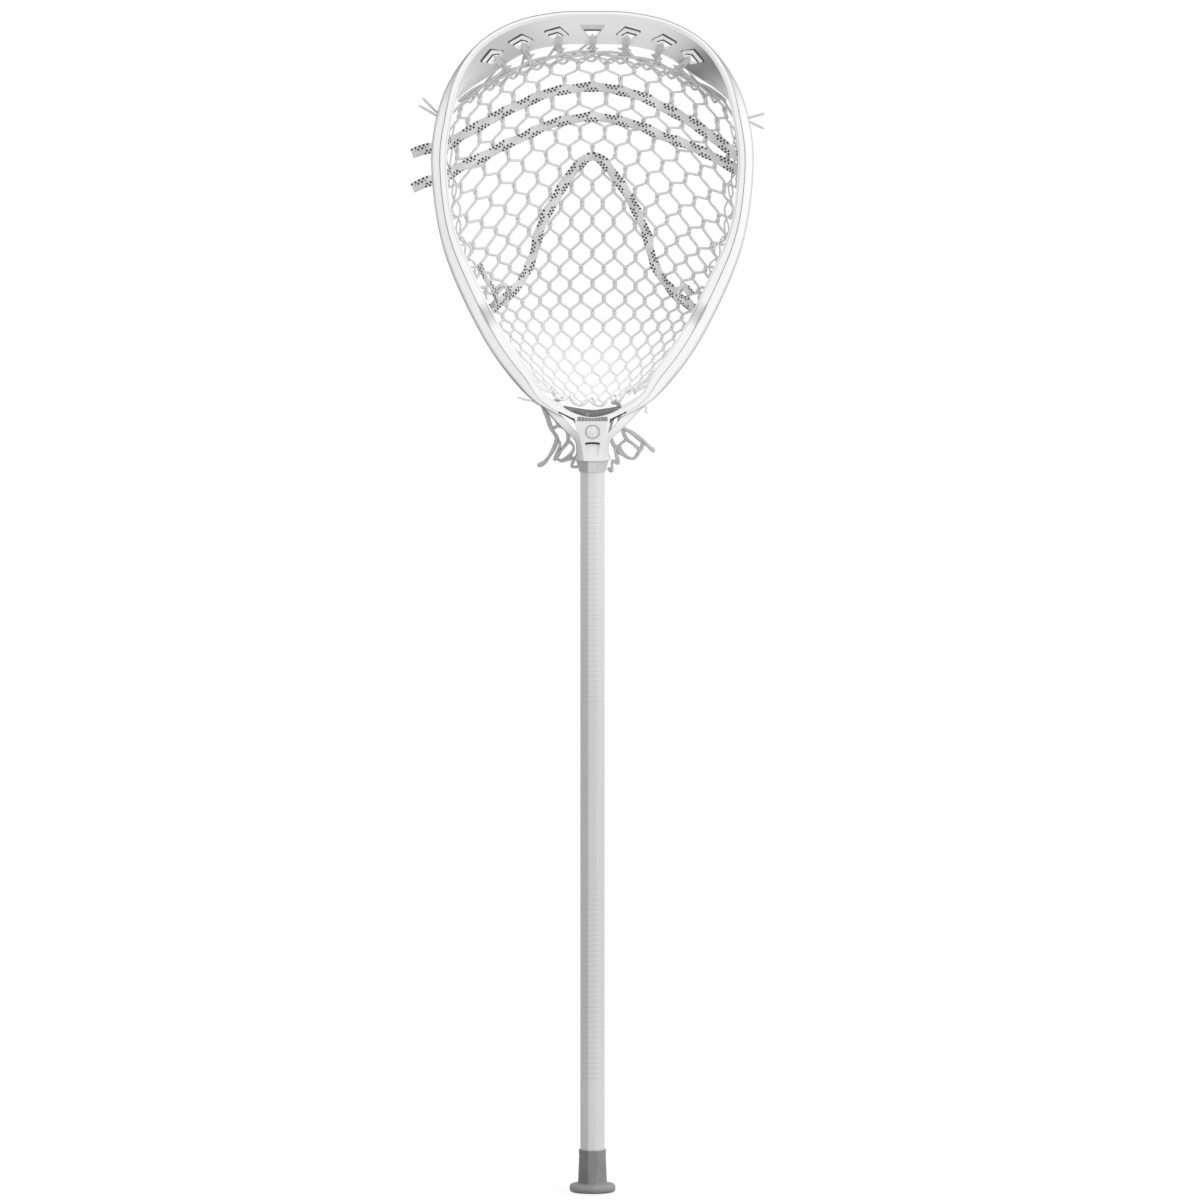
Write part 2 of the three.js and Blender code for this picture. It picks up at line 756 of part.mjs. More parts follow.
// A round cord along points, with a ring at each of them
function cord(points, radius = stringRadius) {
  const corners = Array.from({ length: stringSides }, (_, k) => {
    const turn = (2 * Math.PI * k) / stringSides;
    return new THREE.Vector2(radius * Math.cos(turn), radius * Math.sin(turn));
  });
  const extrudePath = new PointPath(points, false, 'centripetal');
  return new THREE.ExtrudeGeometry(new THREE.Shape(corners), { steps: points.length - 1, extrudePath, bevelEnabled: false });
}

// A point beside the net: a positive offset lies on its ball side
function besideNet(column, row, offset = 0) {
  return netPoint(column, row).addScaledVector(netNormal(column, row), offset);
}

const stringLift = netThickness / 2 + stringRadius + 2 * stringClearance;
const stringClear = stringRadius + stringClearance;

// A cord passes through a cell from the ball side to the back
function passCell(column, passRow, strandRow) {
  return [
    besideNet(column - 0.5, strandRow, stringLift),
    besideNet(column, passRow),
    besideNet(column + 0.5, strandRow, -stringLift),
  ];
}

// Up behind the scoop, through a hole and down its inner face
function throughHole(hole) {
  const distance = Math.sign(hole) * (holeDistances[Math.abs(hole) - 1] ?? 0);
  const { basis, edgeDrop } = scoopFace(outlineLength / 2 - distance);
  const behind = -scoopWallDepth - stringClear;
  const route = [
    [-edgeDrop, behind], [-faceLead, behind], [holeLift, -scoopWallDepth / 2],
    [-faceLead, stringClear], [-edgeDrop, stringClear],
  ];
  return route.map(([up, out]) => new THREE.Vector3(0, up, out).applyMatrix4(basis));
}

// A point at the rail beside a row of the net, side 1 on the right and -1 on the left
function besideRail(side, row, inset, y, shift = 0) {
  const p = place(distanceAt(edgeHeight(row), netInset) + shift, inset, y);
  return p.setX(side * p.x);
}

// The route of a loose end, from its tip to the inside of the rail
function looseEnd(side, [row, reach, rise, y]) {
  const root = besideRail(side, row, 0, y);
  const inside = wallIn + beadSwell + stringClear;
  const tip = root.clone().add(new THREE.Vector3(side * reach, 0, rise));
  return [tip, tip.clone().lerp(root, 0.5), root, besideRail(side, row, sideInset, y), besideRail(side, row, inside, y)];
}

function topString() {
  const points = looseEnd(-1, looseEnds.topLeft);
  for (let gap = 0; gap <= topBridges.length; gap += 1) {
    const column = 2 - netColumns + 2 * gap;
    points.push(...passCell(column, topPassRow, topStrandRow));
    if (topBridges[gap] === null) {
      points.push(besideNet(column + 1, topOverRow));
    } else if (gap < topBridges.length) {
      points.push(...throughHole(topBridges[gap]));
    }
  }
  points.push(besideNet(netColumns - 1, topOverRow), ...looseEnd(1, looseEnds.topRight).reverse());
  return cord(points);
}

// One turn round the back rail, as shares of the pitch with insets and depths
function wrapTurn() {
  const [inner, outer] = [wallIn + beadSwell + stringClear, sideInset - stringClear];
  const [back, front] = [backReach + stringClear, backReach - beadHeight - stringClear];
  return [
    [-1, inner, (back + front) / 2], [-0.8, inner, back - wrapCorner], [-0.6, inner - wrapCorner, back],
    [-0.3, outer + wrapCorner, back], [-0.1, outer, back - wrapCorner], [0.1, outer, front + wrapCorner],
    [0.3, outer + wrapCorner, front], [0.6, inner - wrapCorner, front], [0.8, inner, front + wrapCorner],
    [1, inner, (back + front) / 2],
  ];
}

// Along the rail between two distances, at the net's edge
function railRun(side, from, to) {
  const count = Math.max(1, Math.round(Math.abs(to - from) / runSpacing));
  return Array.from({ length: count - 1 }, (_, k) => {
    const distance = lerp(from, to, (k + 1) / count);
    const section = headSection(station(distance).rise);
    const inset = Math.max(...section.slice(6, 9).map(([across]) => across)) + stringClear;
    const p = place(distance, inset, backReach - beadHeight / 2);
    return p.setX(side * p.x);
  });
}

function railWrap(side, row) {
  return wrapTurn().map(([share, inset, y]) => besideRail(side, row, inset, y, -share * wrapPitch));
}

function sidewallString(side, end) {
  const points = looseEnd(side, end);
  let from = distanceAt(edgeHeight(end[0]), netInset);
  wrapRows.forEach((row) => {
    const centre = distanceAt(edgeHeight(row), netInset);
    points.push(...railRun(side, from, centre + wrapPitch), ...railWrap(side, row));
    from = centre - wrapPitch;
  });
  return cord(points);
}

function belowNet(column) {
  return netPoint(column, netRows).sub(new THREE.Vector3(0, 0, stringClear));
}

function bottomString() {
  const wrapAt = distanceAt(edgeHeight(footWrapRow), netInset);
  const runEnd = distanceAt(edgeHeight(netRows), netInset);
  const points = [...railWrap(-1, footWrapRow), ...railRun(-1, wrapAt - wrapPitch, runEnd)];
  footColumns.forEach((column) => {
    points.push(belowNet(column - footPitch / 2), ...passCell(column, netRows - footPassDrop, netRows - footStrandDrop));
  });
  points.push(belowNet(footColumns[footColumns.length - 1] + footPitch / 2));
  points.push(...railRun(1, runEnd, wrapAt - wrapPitch), ...railWrap(1, footWrapRow).reverse());
  return cord(points);
}

// A flat lace along points with the direction that its face looks
function ribbon(stops) {
  const rings = stops.map(({ point, normal }, k) => {
    const along = stops[Math.min(k + 1, stops.length - 1)].point.clone().sub(stops[Math.max(k - 1, 0)].point).normalize();
    const side = new THREE.Vector3().crossVectors(normal, along).normalize();
    const face = new THREE.Vector3().crossVectors(along, side);
    const halfWidth = laceWidth / 2;
    const half = laceThickness / 2;
    const corners = [
      [halfWidth, 0], [halfWidth - half, half], [half - halfWidth, half],
      [-halfWidth, 0], [half - halfWidth, -half], [halfWidth - half, -half],
    ];
    return corners.map(([across, out]) => point.clone().addScaledVector(side, across).addScaledVector(face, out));
  });
  return skin(rings);
}

// The end of a lace at a rail: over the sidewall string and into the window, or on through it as a tail
function laceEnd(side, row, reach) {
  const insets = [wallIn + beadSwell, sideInset, -reach / 2, -reach].filter((inset) => inset >= Math.min(sideInset, -reach));
  return insets.map((inset) => {
    const point = besideRail(side, row, inset, laceWallY);
    point.z -= (laceTailFall * Math.max(0, -inset)) / laceTailReach;
    return { point, normal: new THREE.Vector3(0, -1, 0) };
  });
}

function lace(path, leftReach, rightReach) {
  const route = new THREE.CatmullRomCurve3(path.map(([column, row]) => new THREE.Vector3(column, row, 0)));
  const offset = (netThickness + laceThickness) / 2 + laceGap;
  const stops = route.getPoints(laceSteps).map(({ x, y }) => ({ point: besideNet(x, y, offset), normal: netNormal(x, y) }));
  const [first, last] = [path[0][1], path[path.length - 1][1]];
  return ribbon([...laceEnd(-1, first, leftReach).reverse(), ...stops, ...laceEnd(1, last, rightReach)]);
}

function vLace() {
  const left = vLaceArm.map(([column, row]) => [-column, row]).reverse();
  return lace([...left, vLaceTop, ...vLaceArm], -laceTuck, -laceTuck);
}

// Spare net behind the throat: strands joined where they meet, the first one coming from the net's foot
function netTail(strands, tieColumn) {
  const tie = besideNet(tieColumn, netRows - tieDrop, -(netThickness / 2 + tailRadius - seatGap));
  const parts = strands.map((strand, k) => {
    const points = strand.map(([x, z, y]) => new THREE.Vector3(
      x * tailSize,
      backReach + tailStandoff + y * tailSize,
      seatHeight + z * tailSize,
    ));
    return solidOf(cord(k === 0 ? [tie, ...points] : points, tailRadius));
  });
  return geometryOf(wasm.Manifold.union(parts));
}

// Shaft, with the hole for the head screw in its back
function shaft() {
  const tube = shaftPlug(0, shaftBottom, shaftTop);
  const bore = shaftPlug(-shaftWall, shaftBottom - cutOverrun, shaftTop + cutOverrun);
  return geometryOf(cut(tube, bore, screwTool(seatGap)));
}

function circle(radius, z) {
  return Array.from({ length: roundSides }, (_, k) => {
    const turn = (2 * Math.PI * k) / roundSides;
    return new THREE.Vector3(radius * Math.cos(turn), radius * Math.sin(turn), z);
  });
}

function endCap() {
  const rounding = Array.from({ length: footRoundSteps + 1 }, (_, k) => {
    const turn = (Math.PI * k) / (2 * footRoundSteps);
    return [footRadius - footRound * (1 - Math.sin(turn)), footRound * (1 - Math.cos(turn))];
  });
  const foot = skin([
    ...rounding.map(([radius, z]) => circle(radius, z)),
    ...rounding.reverse().map(([radius, z]) => circle(radius, footHeight - z)),
  ]);
  const sleeveTop = footHeight + sleeveLength;
  const sleeve = skin([
    shaftRing(sleeveFootWall, footHeight - footRound),
    shaftRing(sleeveTopWall, sleeveTop - sleeveLip),
    shaftRing(sleeveTopWall - sleeveLip / 2, sleeveTop),
  ]);
  return geometryOf(cut(solidOf(foot).add(solidOf(sleeve)), shaftPlug(seatGap, footHeight, sleeveTop + cutOverrun)));
}

function throatCollar() {
  const top = throatBottom - seatGap;
  const foot = top - collarHeight;
  const cone = skin([shaftRing(collarFootWall, foot), shaftRing(collarTopWall, top)]);
  return geometryOf(cut(solidOf(cone), shaftPlug(seatGap, foot - cutOverrun, top + cutOverrun)));
}

// Head screw, with a six-sided recess for its key
function headScrew() {
  const seat = screwSeatY();
  const top = seat + screwHeadHeight;
  const shank = screwRod(screwRadius, screwTipDepth, top - screwDriveDepth);
  const head = screwRod(screwHeadRadius, seat, top);
  const drive = screwRod(screwDriveRadius, top - screwDriveDepth, top + cutOverrun, 6);
  return geometryOf(shank.add(head).subtract(drive));
}

const root = new THREE.Group();

function addPiece(name, geometry, material) {
  const mesh = new THREE.Mesh(geometry, material);
  mesh.name = name;
  root.add(mesh);
}

addPiece('head_frame', headFrame(), whiteNylon);
addPiece('ball_stop', ballStop(), darkFoam);
addPiece('throat_badge', badgeDisc(0, badgeThickness), badgeWhite);
addPiece('throat_collar', throatCollar(), greyFerrule);
addPiece('head_screw', headScrew(), screwSteel);
addPiece('shaft', shaft(), silverTube);
addPiece('end_cap', endCap(), greyRubber);
addPiece('pocket_net', pocketNet(), netCord);
addPiece('top_string', topString(), stringCord);
addPiece('sidewall_string_left', sidewallString(-1, looseEnds.sideLeft), stringCord);
addPiece('sidewall_string_right', sidewallString(1, looseEnds.sideRight), stringCord);
addPiece('bottom_string', bottomString(), stringCord);
addPiece('shooting_lace_upper', lace(upperLacePath, laceTailReach, -laceTuck), laceWeave);
addPiece('shooting_lace_lower', lace(lowerLacePath, laceTailReach, -laceTuck), laceWeave);
addPiece('v_lace', vLace(), laceWeave);
addPiece('net_tail_left', netTail(leftTailShares, leftTieColumn), netCord);
addPiece('net_tail_right', netTail(rightTailShares, rightTieColumn), netCord);

export default root;
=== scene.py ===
# %% [markdown]
# # A lacrosse goalie stick
# A goalie's stick is a wide nylon head with a deep knotted pocket, on an eight-sided metal tube with a rubber cap at
# its foot. Its plain solids come from a CAD model, which is opened here as a fixed frame. Each cell then makes one
# piece or one finish over that frame, and nothing is moved away from where the CAD model has it.

# %% Open the frame
import math

import bpy
import numpy as np
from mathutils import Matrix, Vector


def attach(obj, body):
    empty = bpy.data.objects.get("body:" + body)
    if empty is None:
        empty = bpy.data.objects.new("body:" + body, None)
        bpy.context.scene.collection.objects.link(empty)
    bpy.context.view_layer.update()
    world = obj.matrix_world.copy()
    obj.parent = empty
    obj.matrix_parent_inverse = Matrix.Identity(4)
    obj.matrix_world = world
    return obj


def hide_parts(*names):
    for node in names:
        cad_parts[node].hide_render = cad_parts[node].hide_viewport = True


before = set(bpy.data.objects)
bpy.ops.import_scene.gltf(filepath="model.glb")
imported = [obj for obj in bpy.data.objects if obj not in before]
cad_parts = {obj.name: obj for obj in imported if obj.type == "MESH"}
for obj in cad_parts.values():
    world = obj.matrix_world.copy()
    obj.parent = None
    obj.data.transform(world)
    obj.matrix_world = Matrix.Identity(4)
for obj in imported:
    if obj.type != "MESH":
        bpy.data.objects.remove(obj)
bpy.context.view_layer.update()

# %% [markdown]
# ## The camera
# The photograph was taken from far away with a long lens, a little above the middle of the stick, so that its lines
# hardly converge. A long lens at a long distance gives the same picture. The camera comes before the pieces, because
# every later choice of size and tone is judged through it.

# %% Camera
view_target = Vector((0.0078, 0, 0.617))
view_distance, view_lift = 31.05, math.radians(6)
lens, sensor, picture_width = 900, 36, 1200
view_offset = Vector((0, -math.cos(view_lift), math.sin(view_lift))) * view_distance
bpy.ops.object.camera_add(location=view_target + view_offset, rotation=(math.radians(90) - view_lift, 0, 0))
camera = bpy.context.object
camera.data.lens = lens
camera.data.sensor_width = sensor
camera.data.clip_end = 60
bpy.context.scene.camera = camera
print("one pixel of the picture covers", round(sensor / lens * view_distance / picture_width * 1000, 3), "mm")

# %% [markdown]
# ## Working in millimetres
# A cord that is 2.6 thick is easier to read than one that is 0.0026 thick. So the sizes below are millimetres, as in
# the CAD model, and one helper turns them into Blender's metres when it makes a mesh.

# %% Making and choosing meshes
MM = 0.001


def choose(*pieces):
    """Selects pieces. The first becomes the active one, which is what most operators work on."""
    bpy.ops.object.select_all(action="DESELECT")
    for piece in pieces:
        piece.select_set(True)
    bpy.context.view_layer.objects.active = pieces[0]


def mesh_piece(name, points, faces, marks=None):
    """A new object from points in millimetres. marks gives each point two numbers for its material; a loft puts its
    painted shade in the first.
    """
    mesh = bpy.data.meshes.new(name)
    mesh.from_pydata((np.asarray(points) * MM).tolist(), [], faces)
    if marks is not None:
        layer = mesh.uv_layers.new(name="UVMap")
        corner_points = np.empty(len(mesh.loops), int)
        mesh.loops.foreach_get("vertex_index", corner_points)
        layer.data.foreach_set("uv", np.asarray(marks, float)[corner_points].ravel())
    piece = bpy.data.objects.new(name, mesh)
    bpy.context.collection.objects.link(piece)
    return piece


def finish_modifier(piece, kind, **settings):
    """Adds one modifier and applies it."""
    choose(piece)
    bpy.ops.object.modifier_add(type=kind)
    modifier = piece.modifiers[-1]
    for key, value in settings.items():
        setattr(modifier, key, value)
    bpy.ops.object.modifier_apply(modifier=modifier.name)


def smooth(piece, degrees=35):
    choose(piece)
    bpy.ops.object.shade_smooth_by_angle(angle=math.radians(degrees))


def settle(piece, slot, material, *nodes, body="stick"):
    """Gives a finished piece its material and its body, and hides the CAD nodes that it stands for. slot is not used.
    """
    piece.data.materials.clear()
    piece.data.materials.append(material)
    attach(piece, body)
    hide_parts(*nodes)
    print(piece.name, len(piece.data.polygons), "faces")

# %% [markdown]
# ## Smooth lines through a few points
# The outline of the head, the laces and the cords are all smooth lines through a few known points. A centripetal
# spline passes through each point and never loops between two of them, which is why the CAD model uses it too.

# %% Splines and easing
def spline(points, shares, closed=False):
    """Places on a smooth line through points. A share of 0 is its start and a share of 1 its end."""
    points = np.asarray(points, float)
    count = len(points)
    at = np.asarray(shares, float) * (count if closed else count - 1)
    k = np.clip(np.floor(at).astype(int), 0, count - 1 if closed else count - 2)
    w = (at - k)[:, None]
    if closed:
        p0, p1, p2, p3 = (points[(k + n) % count] for n in (-1, 0, 1, 2))
    else:
        wider = np.vstack([2 * points[0] - points[1], points, 2 * points[-1] - points[-2]])
        p0, p1, p2, p3 = (wider[k + n] for n in range(4))
    d0, d1, d2 = (np.maximum(np.sum((b - a) ** 2, axis=1)[:, None], 1e-9) ** 0.25
                  for a, b in ((p0, p1), (p1, p2), (p2, p3)))
    t1 = ((p1 - p0) / d0 - (p2 - p0) / (d0 + d1) + (p2 - p1) / d1) * d1
    t2 = ((p2 - p1) / d1 - (p3 - p1) / (d1 + d2) + (p3 - p2) / d2) * d1
    return p1 + w * t1 + w ** 2 * (3 * (p2 - p1) - 2 * t1 - t2) + w ** 3 * (2 * (p1 - p2) + t1 + t2)


def ease(value, low, high):
    """0 below low, 1 above high, and a soft step between them."""
    t = np.clip((value - low) / (high - low), 0, 1)
    return t * t * (3 - 2 * t)


def mix(a, b, share):
    return a + (b - a) * share


def even_steps(points, step):
    """The same line, stepped evenly."""
    fine = spline(points, np.linspace(0, 1, 12 * len(points)))
    lengths = np.concatenate([[0], np.cumsum(np.linalg.norm(np.diff(fine, axis=0), axis=1))])
    at = np.linspace(0, lengths[-1], max(2, int(round(lengths[-1] / step)) + 1))
    return np.stack([np.interp(at, lengths, fine[:, i]) for i in range(3)], axis=1)


print("a quarter of the way along an arch:", spline([(0, 0), (1, 1), (2, 0)], [0.25])[0])

# %% [markdown]
# ## The sizes of the head
# The head is one moulding. Its outline is a closed line in the plane of the head, and everything else in it is
# measured inwards from that line and front to back. Nearly all of these sizes are the CAD model's own, so that each
# dressed surface lies on its solid. A few are a millimetre or two off, where a closer look at the photograph asked
# for it.

# %% Sizes shared with the solids
seat_gap = 0.3
shaft_width, shaft_depth, shaft_wall = 25.2, 27.5, 1.5
front_share, side_share = 0.32, 0.38
foot_radius, foot_height = 23.8, 11
sleeve_length, sleeve_top_wall, sleeve_foot_wall = 35.8, 1.4, 2.3
shaft_length = 788
socket_depth, socket_wall = 36, 4.2
throat_height, throat_depth, throat_fan = 47, 38, 122
plate_top, plate_foot = 33, 17
collar_height, collar_top_wall, collar_foot_wall = 12.4, 4, 1
badge_radius, badge_thickness, badge_drop, badge_proud = 7.6, 1.4, 16.4, 0.5
head_length, head_width = 421, 333.4
outline_shares = [
    (0.115, -0.013), (0.24, 0.008), (0.38, 0.04), (0.552, 0.1145), (0.711, 0.2133), (0.926, 0.411),
    (1, 0.609), (0.983, 0.708), (0.913, 0.805), (0.806, 0.877), (0.665, 0.9348), (0.471, 0.976), (0.22, 0.9975),
]
outline_foot = -0.0214
front_reach, back_reach = 25, 26
rail_low, rail_high, crest_share, bevel_drop = 22.4, 17, 0.54, 8
rail_lip, rail_fall, flange_depth = 2.2, 0.8, 15
side_wall, side_inset, bead_height, bead_swell = 4.5, 4, 9, 2.5
lip_reach, scoop_drop, scoop_run, stop_wall = 11, 38.5, 46, 8
scoop_shares = np.array([
    (0, 0.065), (0.02, 0), (0.085, 0.005), (0.185, 0.11), (0.46, 0.37), (0.71, 0.65),
    (0.94, 0.93), (1, 1), (0.96, 1.03), (0.86, 0.97), (0.22, 0.27),
])
stop_shares = np.array([
    (0, 0.04), (0.3, 0), (0.85, 0), (1, 0.04), (1, 0.2), (1, 0.4), (1, 0.75), (1, 0.9), (0.9, 1), (0.1, 1), (0, 0.4),
])

shaft_bottom = foot_height + seat_gap
shaft_top = shaft_bottom + shaft_length
socket_top = shaft_top + seat_gap
throat_bottom = socket_top - socket_depth
seat_height = throat_bottom + throat_height
lip_height = seat_height + head_length
badge_height = seat_height - badge_drop
wall_in = side_inset + side_wall
print("seat of the head at", seat_height, "tip of the lip at", lip_height)

# %% [markdown]
# ### Places beside the outline
# Every point of the head is given by three numbers: how far along the outline it lies, how far inside it, and how far
# from front to back. So a section can be drawn flat, as on paper, and then be set at any place round the head.

# %% The outline and places beside it
outline_keys = [(0, outline_foot), *outline_shares, (0, 1), *[(-x, z) for x, z in reversed(outline_shares)]]
outline_line = spline([(x * head_width / 2, seat_height + z * head_length) for x, z in outline_keys],
                      np.linspace(0, 1, 12001), closed=True)
outline_at = np.concatenate([[0], np.cumsum(np.linalg.norm(np.diff(outline_line, axis=0), axis=1))])
outline_length = outline_at[-1]
outline_along = np.gradient(outline_line, outline_at, axis=0)
print("outline of the head:", round(outline_length), "mm round")


def station(distance):
    """Points of the outline at distances from its foot, the inward direction there, and the share of the height."""
    d = np.mod(np.asarray(distance, float), outline_length)
    point = np.stack([np.interp(d, outline_at, outline_line[:, i]) for i in (0, 1)], axis=-1)
    along = np.stack([np.interp(d, outline_at, outline_along[:, i]) for i in (0, 1)], axis=-1)
    along /= np.linalg.norm(along, axis=-1, keepdims=True)
    inward = np.stack([-along[..., 1], along[..., 0]], axis=-1)
    return point, inward, (point[..., 1] - seat_height) / head_length


def place(distance, inset, y):
    """Points of the head from the three numbers."""
    point, inward, _ = station(distance)
    flat = point + inward * np.asarray(inset, float)[..., None]
    return np.stack(np.broadcast_arrays(flat[..., 0], np.asarray(y, float), flat[..., 1]), axis=-1)


inset_tables = {}


def distance_at(z, inset):
    """How far along the right side an inset point has the height z."""
    if inset not in inset_tables:
        at = np.linspace(0, outline_length / 2, 6001)
        inset_tables[inset] = np.maximum.accumulate(place(at, inset, 0)[:, 2]), at
    return np.interp(z, *inset_tables[inset])

# %% [markdown]
# ### Sections through the moulding
# At the sides the moulding is a thin wall with a rail in front and a bead behind. At the top it is a deep scoop, and at
# the bottom a plain wall for the ball stop. Each of these is a list of eleven corners, so one can blend into the next.

# %% Sections through the moulding
def crest_y(rise):
    """How far in front the crest of the rail lies. It comes forward near the top."""
    return -front_reach - lip_reach * ease(rise, 0.7, 1)


def side_section(rise):
    rail = mix(rail_low, rail_high, ease(rise, 0.3, 0.5))
    front = crest_y(rise)
    return np.array([
        (0, front + bevel_drop), (rail * crest_share, front), (rail - rail_lip, front + rail_fall),
        (rail, front + rail_fall + rail_lip), (rail - rail_lip, front + rail_fall + 2 * rail_lip),
        (wall_in, front + flange_depth), (wall_in, back_reach - bead_height),
        (wall_in + bead_swell, back_reach - bead_height / 2), (wall_in + bead_swell / 2, back_reach),
        (side_inset, back_reach), (side_inset, front + flange_depth),
    ])


def scoop_part(rise):
    return ease(rise, 0.72, 0.93)


def stop_part(rise):
    return 1 - ease(rise, -0.005, 0.085)


def head_section(rise):
    """The eleven corners of the moulding's section, as insets and depths, at a share of the head's height."""
    front = crest_y(rise)
    deep = back_reach - front - 2 * rail_lip
    scoop = np.array([0, front]) + scoop_shares * (scoop_drop, scoop_run)
    stop = np.array([0, front]) + stop_shares * (stop_wall, deep)
    return mix(mix(side_section(rise), scoop, scoop_part(rise)), stop, stop_part(rise))


print("rail half way up the head:", round(float(side_section(0.5)[:, 0].max()), 1), "mm wide")

# %% [markdown]
# ## Lofts
# A moulded rail has the same section all the way round, a little different at each place. That is a loft: rings of
# points, joined by faces. Blender's operators can extrude along a line, but they can't change the section on the way,
# so the rings are worked out here. A real moulding has no knife edges, and each corner of a section is therefore
# rounded by its own radius. Two more helpers mirror half a section and cut one solid out of another.

# %% Rounded sections and lofts
def soften(corners, radii, steps=4):
    """Rounds each corner of a closed section. Returns steps points for each corner."""
    corners = np.asarray(corners, float)
    radii = np.broadcast_to(np.asarray(radii, float), len(corners))[:, None]
    before, after = np.roll(corners, 1, axis=0) - corners, np.roll(corners, -1, axis=0) - corners
    reach_before, reach_after = (np.maximum(np.linalg.norm(v, axis=1, keepdims=True), 1e-6) for v in (before, after))
    start = corners + before / reach_before * np.minimum(radii, 0.45 * reach_before)
    end = corners + after / reach_after * np.minimum(radii, 0.45 * reach_after)
    t = np.linspace(0, 1, steps)[None, :, None]
    bent = (1 - t) ** 2 * start[:, None] + 2 * t * (1 - t) * corners[:, None] + t ** 2 * end[:, None]
    return bent.reshape(-1, corners.shape[1])


def ring_faces(rings, count, closed=False):
    """Faces over rings of the same number of points. An open stack also gets its two ends."""
    faces = []
    for i in range(rings if closed else rings - 1):
        a, b = i * count, (i + 1) % rings * count
        faces += [(a + k, a + (k + 1) % count, b + (k + 1) % count, b + k) for k in range(count)]
    if not closed:
        faces += [tuple(reversed(range(count))), tuple((rings - 1) * count + k for k in range(count))]
    return faces


def loft(name, rings, closed=False, shade=0.0):
    """shade is the painted shade: one number, or one for each point. The first mark of a point carries it to the
    material.
    """
    rings = np.asarray(rings)
    marks = np.zeros((rings.shape[0] * rings.shape[1], 2))
    marks[:, 0] = np.ravel(shade)
    return mesh_piece(name, rings.reshape(-1, 3), ring_faces(len(rings), rings.shape[1], closed), marks)


def section_ring(right, corner, z):
    """A closed ring at one height from the right half of a section, with its corners rounded."""
    ring = soften(np.vstack([right, right[::-1] * (-1, 1)]), corner)
    return np.column_stack([ring, np.full(len(ring), z)])


def subtract(piece, *cutters):
    """Cuts solids out of a piece and deletes them."""
    for cutter in cutters:
        finish_modifier(piece, "BOOLEAN", object=cutter, operation="DIFFERENCE", solver="EXACT")
        bpy.data.objects.remove(cutter, do_unlink=True)


print("a square with soft corners has", len(soften([(0, 0), (1, 0), (1, 1), (0, 1)], 0.2)), "points")

# %% [markdown]
# ## Finishes
# Each material is a small network of nodes, and most of its nodes only do sums. A class that wraps a socket lets
# those sums be written as Python expressions. A second class makes every other node, and a third holds one material.

# %% Shader sums as expressions
class Signal:
    """A socket of a material that can be used in sums, as if it were a number."""

    def __init__(self, network, socket):
        self.network = network
        self.socket = socket

    def sum(self, operation, *others):
        return self.network.node("ShaderNodeMath", {"operation": operation}, (self, *others))

    def __add__(self, other):
        return self.sum("ADD", other)

    def __sub__(self, other):
        return self.sum("SUBTRACT", other)

    def __mul__(self, other):
        return self.sum("MULTIPLY", other)

    def __truediv__(self, other):
        return self.sum("DIVIDE", other)

    def __rsub__(self, other):
        return self.network.node("ShaderNodeMath", {"operation": "SUBTRACT"}, (other, self))

    def __gt__(self, other):
        return self.sum("GREATER_THAN", other)

    def __lt__(self, other):
        return self.sum("LESS_THAN", other)

    __radd__ = __add__
    __rmul__ = __mul__

    def parts(self):
        return self.network.node("ShaderNodeSeparateXYZ", {}, (self,), out=None)

    def rise(self, low, high):
        """0 below low, 1 above high, and a soft step between them."""
        return self.network.node("ShaderNodeMapRange", {"interpolation_type": "SMOOTHSTEP"},
                                {"Value": self, "From Min": low, "From Max": high})


class Network:
    """A tree of nodes. One method makes any node and fills its inputs with values or signals."""

    def __init__(self, tree):
        self.tree = tree

    def node(self, kind, settings=(), values=(), out=0):
        made = self.tree.nodes.new(kind)
        for key, value in dict(settings).items():
            setattr(made, key, value)
        for key, value in values.items() if isinstance(values, dict) else enumerate(values):
            if isinstance(value, Signal):
                self.tree.links.new(value.socket, made.inputs[key])
            else:
                made.inputs[key].default_value = value
        if out is None:
            return [Signal(self, socket) for socket in made.outputs]
        return Signal(self, made.outputs[out])


class Finish(Network):
    """One material: its shader, the coordinates that it reads and the patterns that feed it."""

    def __init__(self, name, roughness, **constants):
        self.material = bpy.data.materials.new(name)
        self.material.use_nodes = True
        super().__init__(self.material.node_tree)
        self.shader = self.tree.nodes["Principled BSDF"]
        self.shader.inputs["Roughness"].default_value = roughness
        for key, value in constants.items():
            self.shader.inputs[key.replace("_", " ")].default_value = value

    def place(self):
        return self.node("ShaderNodeTexCoord", out="Object")

    def mark(self):
        return self.node("ShaderNodeTexCoord", out="UV").parts()

    def noise(self, scale, detail=2, stretch=(1, 1, 1)):
        place = self.node("ShaderNodeMapping", {}, {"Vector": self.place(), "Scale": stretch})
        return self.node("ShaderNodeTexNoise", {}, {"Vector": place, "Scale": scale, "Detail": detail})

    def blend(self, share, first, last):
        """From one grey, colour or signal to another."""
        first, last = (end if isinstance(end, (Signal, tuple)) else (end, end, end, 1) for end in (first, last))
        return self.node("ShaderNodeMix", {"data_type": "RGBA"}, {0: share, 6: first, 7: last}, out=2)

    def sides(self, left, front):
        """Painted light and shade across the tube: the factor on the colour of its left and front sides, when its right
        sides have 1.
        """
        across = self.place().parts()[0]
        near, far = 0.0038, 0.0052
        return across.rise(-far, -near) * (front - left) + across.rise(near, far) * (1 - front) + left

    def feed(self, name, signal):
        self.tree.links.new(signal.socket, self.shader.inputs[name])

    def bump(self, height, distance):
        """Shades the surface as if a signal raised it by a distance in millimetres."""
        self.feed("Normal", self.node("ShaderNodeBump", {}, {"Height": height, "Distance": distance * MM}))
